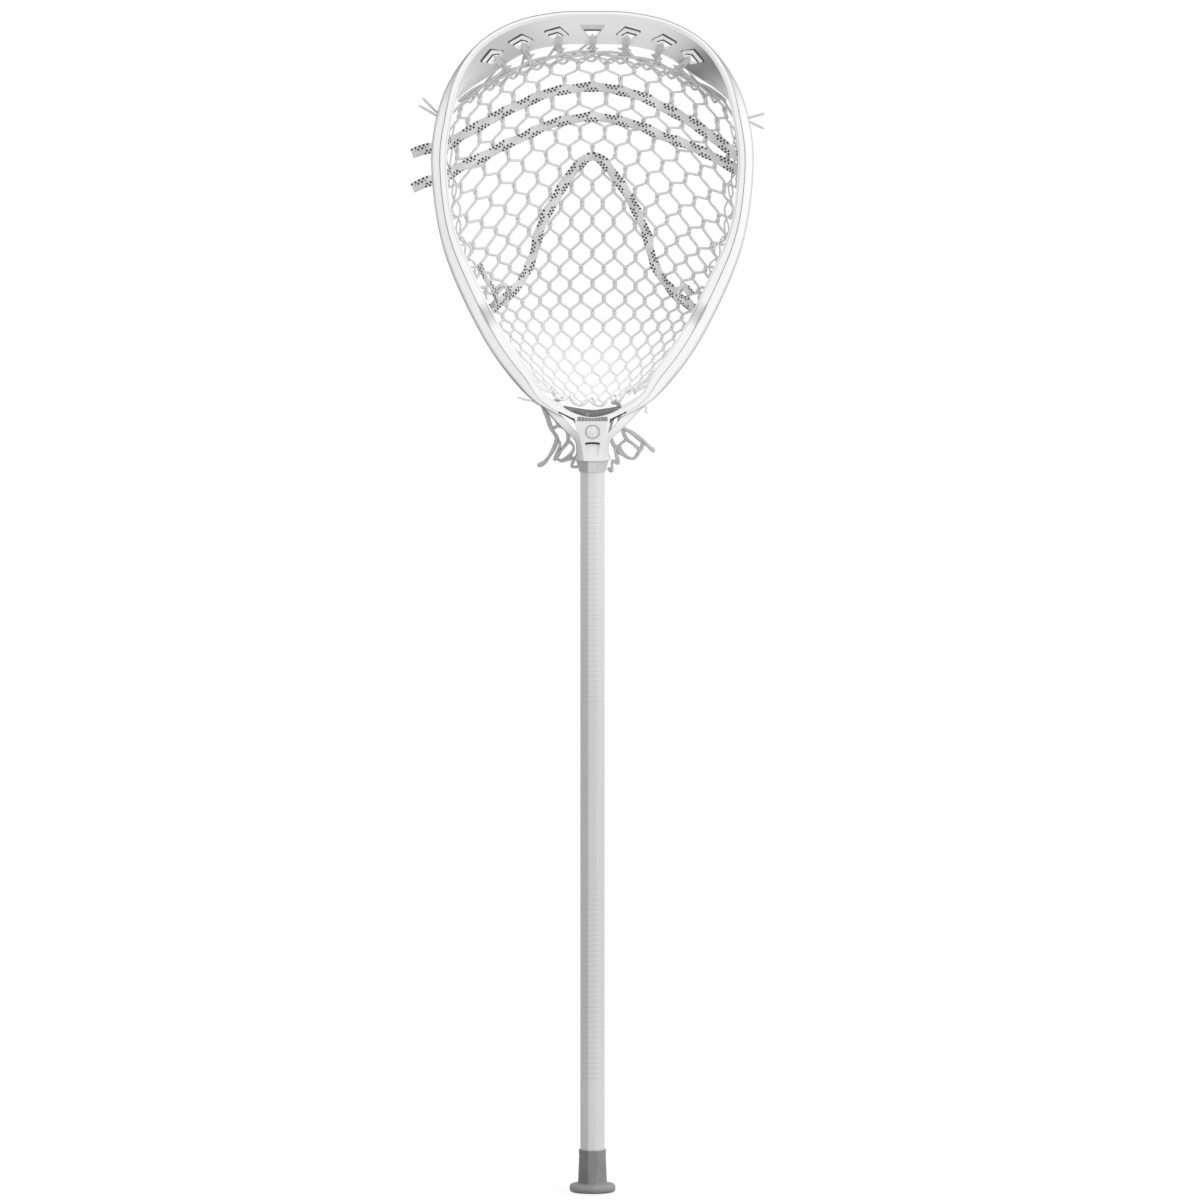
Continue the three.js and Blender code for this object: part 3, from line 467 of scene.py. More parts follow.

# %% [markdown]
# ### Nylon, foam, rubber and metal
# The head is injection moulded nylon: white, faintly uneven and with the fine spark grain of its mould. Where a point
# of it carries a shade mark, it turns dark: painted shade along its outline, in its grooves and on the scoop. The ball
# stop is a cut strip of foam. The tube is anodised aluminium with a soft vertical draw, painted paler at its top as
# painted light. The cap is matt rubber, and its foot is painted pale on top and darker below, as painted light from
# above. In the photograph the sides of the tube, the collar and the cap differ more in tone than a soft light alone
# makes them, so each of these finishes also has painted shade on its left sides.

# %% Solid finishes
def nylon_finish():
    nylon = Finish("moulded_nylon", 0.36)
    cloud = nylon.noise(16, 3)
    plain = nylon.blend(cloud.rise(0.25, 0.75), 0.885, 0.915)
    # Painted shade: where a point carries a shade mark, the nylon turns towards near black.
    nylon.feed("Base Color", nylon.blend(nylon.mark()[0].rise(0, 1), plain, 0.03))
    nylon.feed("Roughness", cloud * 0.14 + 0.3)
    nylon.bump(nylon.noise(1100, 2), 0.03)
    return nylon.material


def foam_finish():
    foam = Finish("closed_foam", 0.92)
    cells = foam.node("ShaderNodeTexVoronoi", {}, {"Vector": foam.place(), "Scale": 700})
    streaks = foam.noise(160, 3, (1, 1, 0.2)).rise(0.5, 0.72)
    foam.feed("Base Color", foam.blend(streaks * 0.75 + cells * 0.25, 0.125, 0.34))
    foam.bump(cells + streaks, 0.35)
    return foam.material


def rubber_finish():
    rubber = Finish("matt_rubber", 0.78)
    dust = rubber.noise(60, 4)
    up = rubber.place().parts()[2]
    foot, side = up.rise(0.0105, 0.0085), rubber.sides(0.64, 0.92)
    # Painted light on the foot: paler on top and darker underneath, as if lit from above. Above the foot, the sides
    # carry painted shade.
    lit = side + (up.rise(0.002, 0.0055) * 0.34 - side + 0.76) * foot
    rubber.feed("Base Color", (dust.rise(0.3, 0.75) * 0.056 + 0.198) * lit)
    rubber.feed("Roughness", dust * 0.2 + 0.62)
    rubber.bump(rubber.noise(2400, 2), 0.06)
    return rubber.material


def ferrule_finish():
    ferrule = Finish("grey_ferrule", 0.5)
    grain = ferrule.noise(240, 3)
    # Painted shade on the collar's left sides, and painted light on its front.
    ferrule.feed("Base Color", (grain * 0.1 + 0.52) * ferrule.sides(0.62, 1.1))
    ferrule.bump(grain, 0.05)
    return ferrule.material


def tube_finish():
    tube = Finish("anodised_tube", 0.45, Metallic=0.15)
    draw = tube.noise(420, 3, (1, 1, 0.02))
    worn = tube.noise(22, 4)
    up = tube.place().parts()[2]
    # Painted light: the tube is paler towards its top and a little paler near its foot. Its left sides carry painted
    # shade.
    lit = up.rise(0.42, 0.76) * 0.2 + up.rise(0.22, 0.1) * 0.04 + 1
    tube.feed("Base Color", (draw * 0.05 + worn * 0.05 + 0.53) * tube.sides(0.73, 0.94) * lit)
    tube.feed("Roughness", worn * 0.2 + 0.32)
    tube.bump(draw, 0.03)
    return tube.material


def badge_finish():
    badge = Finish("badge_plastic", 0.3)
    across, _, height = badge.place().parts()
    up = height - badge_height * MM
    radius = (across * across + up * up).sum("SQRT")
    rim = radius.rise(0.0058, 0.0063) * (1 - radius.rise(0.0068, 0.0073))
    speck = badge.noise(900).rise(0.5, 0.62) * (1 - radius.rise(0.0044, 0.0054)) * 0.55
    plain = badge.blend(badge.noise(90, 3), 0.76, 0.86)
    badge.feed("Base Color", badge.blend(rim.sum("MAXIMUM", speck) * 0.8, plain, (0.16, 0.155, 0.12, 1)))
    badge.bump(badge.noise(1600), 0.02)
    return badge.material


def screw_finish():
    steel = Finish("screw_steel", 0.3, Metallic=0.9)
    wear = steel.noise(500, 4)
    steel.feed("Base Color", steel.blend(wear, 0.32, 0.46))
    steel.feed("Roughness", wear * 0.3 + 0.2)
    return steel.material


nylon, foam, rubber = nylon_finish(), foam_finish(), rubber_finish()
ferrule, tube_metal = ferrule_finish(), tube_finish()
badge_plastic, screw_steel = badge_finish(), screw_finish()
print("finishes:", [finish.name for finish in (nylon, foam, rubber, ferrule, tube_metal, badge_plastic, screw_steel)])

# %% [markdown]
# ### Cords and laces
# A net cord is two plies laid round each other, so its surface is a row of slanting ridges. The mark of each point
# says how far round and how far along the cord it is, and a ridge is one line on which the sum of both is whole. The
# foot of the net is painted paler, as painted light for the white background that shines through it there. A lace is a
# flat hollow braid, with a slow painted shade along it where it twists. Its dark tracer threads come up to the face as
# rows of short stitches, first at one edge and then at the other. Each of the rows below has the place of its line and
# the share of the period in which it shows.

# %% Cord and lace finishes
def cord_finish(name, dark, light, pitch, plies=2, painted_backlight=1):
    """Laid cord. pitch is the length of one turn of a ply in millimetres. The last argument paints the net's foot
    paler, as painted light.
    """
    cord = Finish(name, 0.82)
    round_share, along, _ = cord.mark()
    ridge = ((along / pitch + round_share) * (plies * 2 * math.pi)).sum("SINE") * 0.5 + 0.5
    fibre = cord.noise(1500, 3)
    # Painted light: the foot of the net is paler, where the white background shines through it.
    low = cord.place().parts()[2].rise(0.93, 0.84) * painted_backlight
    laid = ridge * 0.7 + fibre * 0.3
    cord.feed("Base Color", (laid * (light - dark) + dark) * (1 - low) + (laid * 0.08 + 0.87) * low)
    cord.bump(ridge + fibre * 0.4, 0.18)
    return cord.material


stitch_pitch, stitch_share, stitch_half_width, tracer_period = 4.2, 0.5, 0.1, 31
tracer_rows = ((0.11, 0.0, 0.62), (0.34, 0.12, 0.5), (0.89, 0.36, 0.92), (0.66, 0.46, 0.82))


def lace_finish():
    lace = Finish("woven_lace", 0.84)
    across, along, _ = lace.mark()
    rib = (along * 2.9 + (across - 0.5).sum("ABSOLUTE") * 14).sum("SINE") * 0.5 + 0.5
    fibre = lace.noise(900, 3)
    # Painted shade: slow light and dark stretches along the lace, where it twists.
    painted_twist_shade = lace.noise(38, 1).rise(0.3, 0.7)
    colour = lace.blend(rib * 0.3 + fibre * 0.3 + painted_twist_shade * 0.4, 0.52, 0.8)
    period = (along / tracer_period).sum("FRACT")
    for row, (edge, start, end) in enumerate(tracer_rows):
        stitch = (along / stitch_pitch + row * 0.5).sum("FRACT") < stitch_share
        line = (across - edge).sum("ABSOLUTE") < stitch_half_width
        here = (period > start) * (period < end)
        colour = lace.blend(stitch * line * here * 0.96, colour, 0.012)
    lace.feed("Base Color", colour)
    lace.bump(rib + fibre * 0.5, 0.16)
    return lace.material


net_cord = cord_finish("net_cord", 0.6, 0.8, 3.2)
# The string cord is a little darker than the net cord: painted shade, as the top string lies under the scoop.
string_cord = cord_finish("string_cord", 0.54, 0.74, 2.6, plies=3)
# The tail cord is darker still: painted shade, as the tails hang behind the throat. Its foot is not painted paler.
tail_cord = cord_finish("tail_cord", 0.42, 0.6, 3.2, painted_backlight=0)
lace_weave = lace_finish()
print("finishes:", [finish.name for finish in (net_cord, string_cord, tail_cord, lace_weave)])

# %% [markdown]
# ## The floor
# The stick stands on the floor of a studio, and the photograph shows next to nothing of it. The floor here is pale and
# still takes the shadow of the cap. Light Path tells which kind of ray meets it: the camera and reflections see it
# glow, and light that bounces off it is dimmer than it looks, so that the undersides of the stick keep some shade.

# %% Floor
floor_glow, floor_bounce = 0.8, 0.7


def floor_finish():
    floor = Finish("pale_floor", 0.9, Specular_IOR_Level=0)
    floor.feed("Base Color", floor.blend(floor.noise(3), 0.9, 0.93))
    to_camera, _, diffuse, glossy, *_ = floor.node("ShaderNodeLightPath", out=None)
    seen = to_camera.sum("MAXIMUM", glossy) * floor_glow
    glow = floor.node("ShaderNodeEmission", {}, {"Color": (1, 1, 1, 1), "Strength": 1})
    dim = floor.node("ShaderNodeBsdfDiffuse", {}, {"Color": (floor_bounce, floor_bounce, floor_bounce, 1)})
    lit = floor.node("ShaderNodeMixShader", {}, (diffuse, Signal(floor, floor.shader.outputs[0]), dim))
    both = floor.node("ShaderNodeMixShader", {}, (seen, lit, glow))
    floor.tree.links.new(both.socket, floor.tree.nodes["Material Output"].inputs["Surface"])
    return floor.material


bpy.ops.mesh.primitive_plane_add(size=9, location=(0, 0, -0.0004))
floor = bpy.context.object
floor.name = "floor"
bpy.ops.object.transform_apply(location=True)
floor.data.materials.append(floor_finish())
print("floor:", [round(size, 1) for size in floor.dimensions], "m")

# %% [markdown]
# ## Background and light
# The background of the photograph is white, and its light is soft and comes from the upper right. Here the background
# is white only where the camera, a reflection or a clear material looks at it, so that it adds no light of its own.
# The sky does most of the lighting, and is brighter above and to the right. One soft lamp adds a key.

# %% World and lamp
sky_middle, sky_right, sky_up = 0.93, 0.2, 0.2
lamp_strength, lamp_from = 0.6, Vector((0.46, -0.68, 0.57))

world = bpy.data.worlds.new("studio")
bpy.context.scene.world = world
world.use_nodes = True
studio = Network(world.node_tree)
studio.tree.nodes.clear()
rays = {signal.socket.name: signal for signal in studio.node("ShaderNodeLightPath", out=None)}
shown = rays["Is Camera Ray"].sum("MAXIMUM", rays["Is Glossy Ray"]).sum("MAXIMUM", rays["Is Transmission Ray"])
right, _, up = studio.node("ShaderNodeTexCoord", out="Generated").parts()
sky = right * sky_right + up * sky_up + sky_middle
strength = studio.node("ShaderNodeMapRange", {}, {"Value": shown, "To Min": sky, "To Max": 1.0})
background = studio.node("ShaderNodeBackground", {}, {"Color": (1, 1, 1, 1), "Strength": strength})
surface = studio.tree.nodes.new("ShaderNodeOutputWorld").inputs["Surface"]
studio.tree.links.new(background.socket, surface)

bpy.ops.object.light_add(type="SUN", location=lamp_from * 3, rotation=lamp_from.to_track_quat("Z", "Y").to_euler())
lamp = bpy.context.object
lamp.data.energy = lamp_strength
lamp.data.angle = math.radians(22)
bpy.context.scene.view_settings.view_transform = "Standard"
print("sky", sky_middle, "to", sky_middle + sky_right + sky_up, "and a lamp of", lamp_strength)

# %% [markdown]
# ## The net's surface
# The net hangs from the scoop down to the ball stop wall. Its knots lie on a lattice of rows and columns, half a
# pitch apart, on a surface that sags backwards into a pocket. The cords and laces are all placed by row and column,
# so this surface comes before them. It is the same surface as in the CAD model.

# %% Rows, columns and the pocket
net_columns, net_rows = 12, 23
net_inset, net_foot_rise, net_top_drop = 15.6, 8, 9
pocket_depth, sag_power, bowl_power = 72, 1.6, 2.4
net_thickness, net_top_y = 2.2, 13
row_centres = (0, 0.181, 0.389, 0.587, 0.759, 0.913, 1)
row_edges = (0.151, 0.369, 0.539, 0.66, 0.756, 0.85, 0.947)
row_fans = (0.26, 0.08, -0.08, 0.15, 0.37, 0.4, 0.3)
net_top = lip_height - scoop_drop - net_top_drop
net_foot = seat_height + net_foot_rise


def along_rows(keys, row):
    keys = np.array(keys)
    last = len(keys) - 1
    at = np.clip((row + 1) / (net_rows + 1) * last, 0, last)
    k = np.minimum(np.floor(at).astype(int), last - 1)
    a, b, c, d = (keys[np.clip(k + n, 0, last)] for n in (-1, 0, 1, 2))
    t = at - k
    return b + 0.5 * t * (c - a + t * (2 * a - 5 * b + 4 * c - d + t * (3 * (b - c) + d - a)))


def edge_height(row):
    return mix(net_top, net_foot, along_rows(row_edges, row))


def edge_distance(row):
    """How far along the outline the net's edge has a row."""
    return float(distance_at(edge_height(row), net_inset))


def net_point(column, row):
    column, row = np.broadcast_arrays(np.asarray(column, float), np.asarray(row, float))
    edge_z = edge_height(row)
    half_width = place(distance_at(edge_z, net_inset), net_inset, 0)[..., 0]
    t = column / net_columns
    fan = along_rows(row_fans, row)
    across = (1 + fan) * t - fan * t * np.abs(t)
    z = mix(mix(net_top, net_foot, along_rows(row_centres, row)), edge_z, across ** 2)
    down = np.clip((row + 1) / (net_rows + 1), 0, 1)
    edge_y = mix(net_top_y, back_reach - bead_height / 2, np.maximum(across ** 2, np.minimum(4 * down, 1)))
    sag = pocket_depth * np.sin(np.pi * down ** sag_power) * (1 - np.abs(across) ** bowl_power)
    return np.stack([across * half_width, edge_y + sag, z], axis=-1)


def unit(vectors):
    return vectors / np.maximum(np.linalg.norm(vectors, axis=-1, keepdims=True), 1e-9)


def net_normal(column, row):
    across = net_point(column + 0.2, row) - net_point(column - 0.2, row)
    down = net_point(column, row + 0.2) - net_point(column, row - 0.2)
    return unit(np.cross(down, across))


def beside_net(column, row, offset=0.0):
    """A point beside the net: a positive offset lies on its ball side."""
    column, row = np.asarray(column, float), np.asarray(row, float)
    return net_point(column, row) + net_normal(column, row) * np.asarray(offset)[..., None]


print("deepest point of the pocket:", round(float(net_point(0, np.linspace(0, 22, 60))[:, 1].max()), 1), "mm back")

# %% [markdown]
# ## Cords as swept sections
# A cord is a round section carried along a line. The section must not spin on its way, so its two directions are
# handed on from point to point with the smallest turn. Every cord, strand and lace is gathered into the mesh of its
# own piece, with marks that say how far round and along it each corner of a face is.

# %% Sweeping and gathering
class Gather:
    """The points, faces and marks of many small shapes, for one piece."""

    def __init__(self):
        self.points = []
        self.faces = []
        self.marks = []
        self.count = 0
        self.length = 0

    def rings(self, rings, round_marks, along_marks):
        n, m = rings.shape[:2]
        self.points.append(rings.reshape(-1, 3))
        self.length += along_marks[-1] - along_marks[0]
        for i in range(n - 1):
            a, b = self.count + i * m, self.count + (i + 1) * m
            for k in range(m):
                right = (k + 1) % m
                self.faces.append((a + k, a + right, b + right, b + k))
                low, high, near, far = along_marks[i], along_marks[i + 1], round_marks[k], round_marks[k + 1]
                self.marks += [(near, low), (far, low), (far, high), (near, high)]
        for ring, order in ((0, reversed(range(m))), (n - 1, range(m))):
            self.faces.append(tuple(self.count + ring * m + k for k in order))
            self.marks += [(0.5, along_marks[ring])] * m
        self.count += n * m

    def piece(self, name):
        made = mesh_piece(name, np.vstack(self.points), self.faces)
        layer = made.data.uv_layers.new(name="UVMap")
        layer.data.foreach_set("uv", np.array(self.marks, float).ravel())
        choose(made)
        bpy.ops.object.shade_smooth()
        print(name, round(self.length), "mm of it in all")
        return made


def lengths_along(points):
    return np.concatenate([[0], np.cumsum(np.linalg.norm(np.diff(points, axis=0), axis=1))])


def carried_sides(points):
    """Two directions across a line at each point, handed on with the smallest turn."""
    ahead = unit(np.gradient(points, axis=0))
    side = np.empty_like(ahead)
    start = np.array([0, 1, 0]) if abs(ahead[0][1]) < 0.8 else np.array([1, 0, 0])
    for k, direction in enumerate(ahead):
        start = start - direction * np.dot(start, direction)
        start = start / np.linalg.norm(start)
        side[k] = start
    return side, np.cross(ahead, side)


def add_cord(gather, points, radii, sides):
    """A round cord along points, with a radius for each point."""
    side, other = carried_sides(points)
    turn = np.linspace(0, 2 * np.pi, sides, endpoint=False)[:, None]
    rings = points[:, None] + radii[:, None, None] * (side[:, None] * np.cos(turn) + other[:, None] * np.sin(turn))
    gather.rings(rings, np.linspace(0, 1, sides + 1), lengths_along(points))


def add_cut_cord(gather, line, radius, sides):
    """A round cord along evenly spaced points. Its cut ends are slightly drawn in."""
    radii = np.full(len(line), float(radius))
    radii[[0, -1]] *= 0.55
    radii[[1, -2]] *= 0.9
    add_cord(gather, line, radii, sides)

# %% [markdown]
# ## The head
# The head is the main form. Its ring is a loft of some four hundred sections, close together, so that the rails run
# cleanly round the tight scoop. The slope outside the crest is full, and a fine groove follows the crest itself. Each
# point also gets a shade mark, which the nylon turns into painted shade: a thin grey line along the outline and the
# grooves, and the soft shade that the photograph shows on the scoop's face.

# %% Ring of the head
side_radii = np.array([1.3, 3, 0.8, 0.9, 1.0, 1.0, 3, 1.2, 1.4, 1.2, 1.2, 3])
scoop_radii = np.array([0.8, 0.4, 0.6, 0.6, 1.6, 5, 6, 2, 0.8, 0.6, 2, 6])
stop_radii = np.array([1.4, 0.4, 1.4, 1.4, 1.4, 2, 2, 2, 1.4, 1.4, 1.4, 2])
section_steps = 5
crest_groove, full_edge, full_at = 0.9, 1.7, 0.3
streak_middle, streak_half, streak_round, streak_groove = 909, 14, 1.5, 0.4


def moulding_ring(distance):
    """The points and the painted shade marks of one section. A short streak on the rail is rounder and deeper, and
    darker.
    """
    _, _, rise = station(distance)
    scoop, stop = scoop_part(rise), stop_part(rise)
    radii = mix(mix(side_radii, scoop_radii, scoop), stop_radii, stop)
    height = seat_height + float(rise) * head_length
    streak = max(0.0, 1 - ((height - streak_middle) / streak_half) ** 2)
    radii[2] += streak_round * streak
    section = head_section(float(rise))
    slope = section[1] - section[0]
    bulge = unit(np.array([slope[1], -slope[0]])) * full_edge * (1 - scoop) * (1 - stop)
    section = np.insert(section, 1, mix(section[0], section[1], full_at) + bulge, axis=0)
    ring = soften(section, radii, section_steps)
    inward = unit((section[1] + section[3]) / 2 - section[2])
    deepest = 2 * section_steps + section_steps // 2
    ring[deepest] += inward * (crest_groove + streak_groove * streak) * (1 - scoop) * (1 - stop)
    points = place(np.full(len(ring), distance), ring[:, 0], ring[:, 1])
    return points, line_shades(float(rise), scoop, stop, streak, points[0, 0])


def line_shades(rise, scoop, stop, streak, across):
    """The painted shade marks of one ring: its outline, the crest groove, the inner edge of the rail and the scoop's
    face.
    """
    low, foot = 1 - ease(rise, 0.1, 0.45), 1 - ease(rise, 0.03, 0.16)
    side = (1 - scoop) * (1 - stop * 0.3)
    # Painted shade along the outline, darker on the left side and towards the foot.
    outline = (0.66 + 0.3 * foot if across < 0 else 0.54 + 0.06 * foot) * (1 - stop * 0.1)
    # Painted shade on the scoop's face: darkest on its right part, lighter on its left, least in the middle.
    left, right = 0.33 * ease(-across, 10, 105), 0.4 * ease(across, 50, 135) + 0.34 * ease(across, 100, 140)
    face = scoop * (0.07 + right + left)
    edge, even, line = (1, 1, 1, 1, 0.95), (1, 1, 1, 1, 1), (0.3, 0.8, 1, 0.8, 0.3)
    # Each row: a corner of the section, how its painted shade changes over the corner's points, and how dark it is.
    marks = [
        (0, edge, mix(outline, 0.75, scoop)), (1, (0.8, 0.6, 0.4, 0.2, 0.1), outline * (1 - scoop)),
        (1, even, 0.75 * scoop), (2, (1, 0.8, 0.5, 0.2, 0), 0.65 * scoop),
        (2, line, (0.54 - 0.12 * low) * side), (3, line, (0.4 - 0.15 * low) * side), (4, line, 0.3 * side),
        (2, (0, 0, 0, 0.5, 1), 0.3 * streak), (3, even, 0.3 * streak + 0.1 * foot * side),
        (4, even, 0.14 * foot * side), (4, (0, 0.3, 0.8, 1, 1), face), *((corner, even, face) for corner in (5, 6, 7)),
    ]
    shades = np.zeros((12, section_steps))
    for corner, fall, depth in marks:
        shades[corner] += np.array(fall) * depth
    return shades.ravel()


stop_zone, scoop_zone = 74, float(distance_at(seat_height + head_length * 0.64, 0))
right_side = np.concatenate([
    np.linspace(0, stop_zone, 44, endpoint=False), np.linspace(stop_zone, scoop_zone, 76, endpoint=False),
    np.linspace(scoop_zone, outline_length / 2, 84),
])
ring_places = [*(-right_side[1:]), *reversed(right_side[:-1])]
head_rings, head_shades = zip(*(moulding_ring(d) for d in ring_places))
head = loft("head_frame_dressed", head_rings, closed=True, shade=head_shades)
print("ring of the head:", len(head_rings), "sections,", len(head.data.polygons), "faces")

# %% [markdown]
# ### The throat
# The throat leads from the socket of the shaft to the sidewalls. It is a stack of eight-sided sections that fans out
# upwards, with a small ridge at its foot. Its part inside the head is cut off before the two are joined to one solid.

# %% Throat
throat_rows = [(0, 0, 0), (0.42, 0.03, 0.5), (0.64, 0.25, 0.78), (0.84, 0.46, 1), (1, 0.62, 1), (1.36, 1, 1)]
foot_ridge = 1.7


def throat_ring(up, spread, deepen):
    """An eight-sided ring, with one more corner on each front slope for the painted shade along its edge."""
    ridge = foot_ridge * (1 - ease(up, 0.05, 0.075))
    half_width = mix(shaft_width / 2 + socket_wall, throat_fan / 2, spread) + ridge
    half_depth = mix(throat_depth / 2, front_reach - seat_gap / 2, deepen) + ridge
    flat = mix(plate_foot, plate_top, min(up, 1)) / 2
    side = mix(throat_depth / 4, front_reach * 0.8, deepen)
    right = np.array([(flat, -half_depth), (half_width, -side), (half_width, side), (flat, half_depth)])
    right = np.insert(right, 1, mix(right[1], right[0], 0.14), axis=0)
    return section_ring(right, 0.7, throat_bottom + up * throat_height)


def plate_y(z):
    up = (z - throat_bottom) / throat_height
    keys = np.array(throat_rows)
    return -mix(throat_depth / 2, front_reach - seat_gap / 2, np.interp(up, keys[:, 0], keys[:, 2]))


throat_steps = spline(throat_rows, np.linspace(0, 1, 41))
# Painted shade on each corner of the throat's ring at its foot: the plate, the front slopes and the outline, darker on
# the left.
foot_shades = np.repeat([0.3, 0.32, 0.5, 0, 0, 0, 0, 0.95, 0.5, 0.4], 4)
foot_shades[[0, 1, 2, 3, 36, 37, 38, 39]] = (0.26, 0.26, 0.28, 0.3, 0.4, 0.34, 0.26, 0.26)


def throat_shades(up):
    """Painted shade: the flanks are darkest at the foot; the outline and the plate keep their shade."""
    paler = np.repeat([0.5, 0.6, 0.2, 0, 0, 0, 0, 0.15, 0.6, 0.5], 4) * ease(up, 0.3, 0.9)
    paler[[0, 1, 38, 39]] = 0
    return foot_shades * (1 - paler)


throat = loft("throat", [throat_ring(*row) for row in throat_steps],
              shade=[throat_shades(row[0]) for row in throat_steps])
print("throat:", len(throat.data.polygons), "faces")

# %% [markdown]
# ### Cutters
# Holes are made as a mould makes them: a solid of the hole's own form is taken away. An exact Boolean does that, and
# the new walls get their normals and shade marks from the cutter. It fails where two cutters share a wall or overlap,
# so cutters that lie apart are joined and taken away together, and those that touch follow one another.

# %% Cutters
def prism(name, outline, start, end, shade=0.0, radius=0, lean=0.0):
    """A solid with an outline in the plane of the head, carried from front to back."""
    ring = soften(outline, radius, 6) if radius else np.asarray(outline)
    rings = [np.column_stack([ring[:, 0], np.full(len(ring), y), ring[:, 1] - (y + front_reach) * lean])
             for y in (start, end)]
    return outwards(loft(name, rings, shade=shade))


def outwards(piece):
    """Joins points that fall together and turns all faces outwards."""
    choose(piece)
    bpy.ops.object.mode_set(mode="EDIT")
    bpy.ops.mesh.select_all(action="SELECT")
    bpy.ops.mesh.remove_doubles(threshold=1e-6)
    bpy.ops.mesh.normals_make_consistent(inside=False)
    bpy.ops.object.mode_set(mode="OBJECT")
    return piece


def joined(*pieces):
    choose(*pieces)
    bpy.ops.object.join()
    return pieces[0]


front_far, back_far = -2 * front_reach, 2 * back_reach
stop_reach = float(distance_at(seat_height + throat_height, 0))
inside = place(np.linspace(-stop_reach, stop_reach, 61), stop_wall * 0.75, 0)[:, [0, 2]]
subtract(throat, prism("inside_of_head", inside, front_far, back_far))
finish_modifier(head, "BOOLEAN", object=throat, operation="UNION", solver="EXACT")
bpy.data.objects.remove(throat, do_unlink=True)
print("head with its throat:", len(head.data.polygons), "faces")

# %% [markdown]
# ### Details of the throat
# The plate of the throat has a window on each side, a slot, a seat for the badge and a row of fine ribs. The photograph
# shows dark lines where the upper edges of the windows and of the slot hide the light. Soft studio light alone makes
# them too pale, so each is a shallow groove whose walls carry a dark mark: a painted shadow. The walls of the windows,
# the slot and the ribs also carry painted shade. From below comes the socket for the shaft, and from behind the hole
# for the screw.

# %% Throat windows, slot, socket and seats
window_corners = np.array([(34.5, seat_height + 3.6), (15.8, seat_height - 18), (19.1, seat_height - 5)])
slot_width, slot_foot_width, slot_height, slot_rise = 15.6, 11.4, 14, 0.9
slot_top_drop, slot_top_depth, slot_foot_depth = 28, 3.4, 0.6
rib_depth, rib_width, rib_pitch, rib_reach = 0.5, 1.1, 1.5, 15
shank_radius, screw_head_radius, screw_sunk = 1.9, 4, 2.4


def throat_slot():
    top = seat_height - slot_top_drop
    foot = top - slot_height
    top_y, foot_y = plate_y(top) + slot_top_depth, plate_y(foot) + slot_foot_depth
    inner = [(-slot_foot_width / 2, foot_y, foot), (slot_foot_width / 2, foot_y, foot), (slot_width / 2, top_y, top),
             (0, top_y, top + slot_rise), (-slot_width / 2, top_y, top)]
    outer = [(x, plate_y(top) - 6, z) for x, _, z in inner]
    # The slot's walls carry painted shade.
    return outwards(loft("slot", [inner, outer], shade=0.26))


def slot_shadow():
    """The painted shadow under the slot's upper edge: a dark gap, bent like the edge."""
    top = seat_height - slot_top_drop + slot_rise
    edge = [(x, top - (x / slot_width) ** 2 * 3.2) for x in np.linspace(-slot_width / 2, slot_width / 2, 9)]
    low = [(x * 0.95, z - 2.5) for x, z in reversed(edge)]
    return prism("slot_shadow", [*edge, *low], front_far, plate_y(top) + slot_top_depth + 1, 0.9)


def window_shadow(side):
    """The painted shadow under the upper edge of a throat window: a dark line."""
    outer, _, inner = window_corners
    edge = np.array([outer + (0.8, 1.7), inner + (-0.7, 2)])
    low = edge[::-1] - [(0.9, 4.4), (0.7, 2.4)]
    return prism("window_shadow", np.vstack([edge, low]) * (side, 1), front_far, -front_reach + 3.5, 0.99)


def rib_cuts():
    """Fine upright ribs across the plate, just below the ball stop, with painted shade on their walls."""
    top, foot, half = seat_height - 0.6, seat_height - 5.2, rib_width / 2
    rib = np.array([(-half, foot), (half, foot), (half, top), (-half, top)])
    return [prism("rib", rib + (x, 0), front_far, plate_y(foot) + rib_depth, 0.8)
            for x in np.arange(-rib_reach, rib_reach + 0.1, rib_pitch)]


def shaft_ring(margin, z, corner=0.8):
    """The section of the tube, wider by a margin, at one height."""
    half_width, half_depth, lean = shaft_width / 2 + margin, shaft_depth / 2 + margin, margin * math.tan(math.pi / 8)
    flat, side = shaft_width / 2 * front_share + lean, shaft_depth / 2 * side_share + lean
    right = np.array([(flat, -half_depth), (half_width, -side), (half_width, side), (flat, half_depth)])
    return section_ring(right, corner, z)


def cylinder(name, radius, length, middle, rotation, sides):
    bpy.ops.object.select_all(action="DESELECT")
    bpy.ops.mesh.primitive_cylinder_add(vertices=sides, radius=radius * MM, depth=length * MM, location=middle * MM,
                                        rotation=rotation)
    made = bpy.context.object
    made.name = name
    bpy.ops.object.transform_apply(location=True, rotation=True)
    return made


def badge_disc(name, margin, thickness, sides):
    """A disc whose back lies parallel to the throat's plate."""
    back = Vector((0, plate_y(badge_height) + badge_thickness - badge_proud + margin, badge_height))
    return cylinder(name, badge_radius + margin, thickness, back + badge_out * thickness / 2,
                    badge_out.to_track_quat("Z", "Y").to_euler(), sides)


def screw_rod(name, radius, start, end):
    """A round cutter along the screw, from front to back."""
    middle = Vector((0, (start + end) / 2, screw_z))
    return cylinder(name, radius + seat_gap, end - start, middle, (math.radians(90), 0, 0), 40)


badge_fall = plate_y(badge_height - badge_radius) - plate_y(badge_height + badge_radius)
badge_slope = math.atan2(badge_fall, 2 * badge_radius)
badge_out = Vector((0, -math.cos(badge_slope), -math.sin(badge_slope)))
screw_z = seat_height - 25
screw_seat = -plate_y(screw_z) - screw_sunk
socket = outwards(loft("socket", [shaft_ring(seat_gap, throat_bottom - 4), shaft_ring(seat_gap, socket_top)]))
print("the plate leans by", round(math.degrees(badge_slope), 1), "degrees, the screw is at", round(screw_z, 1))

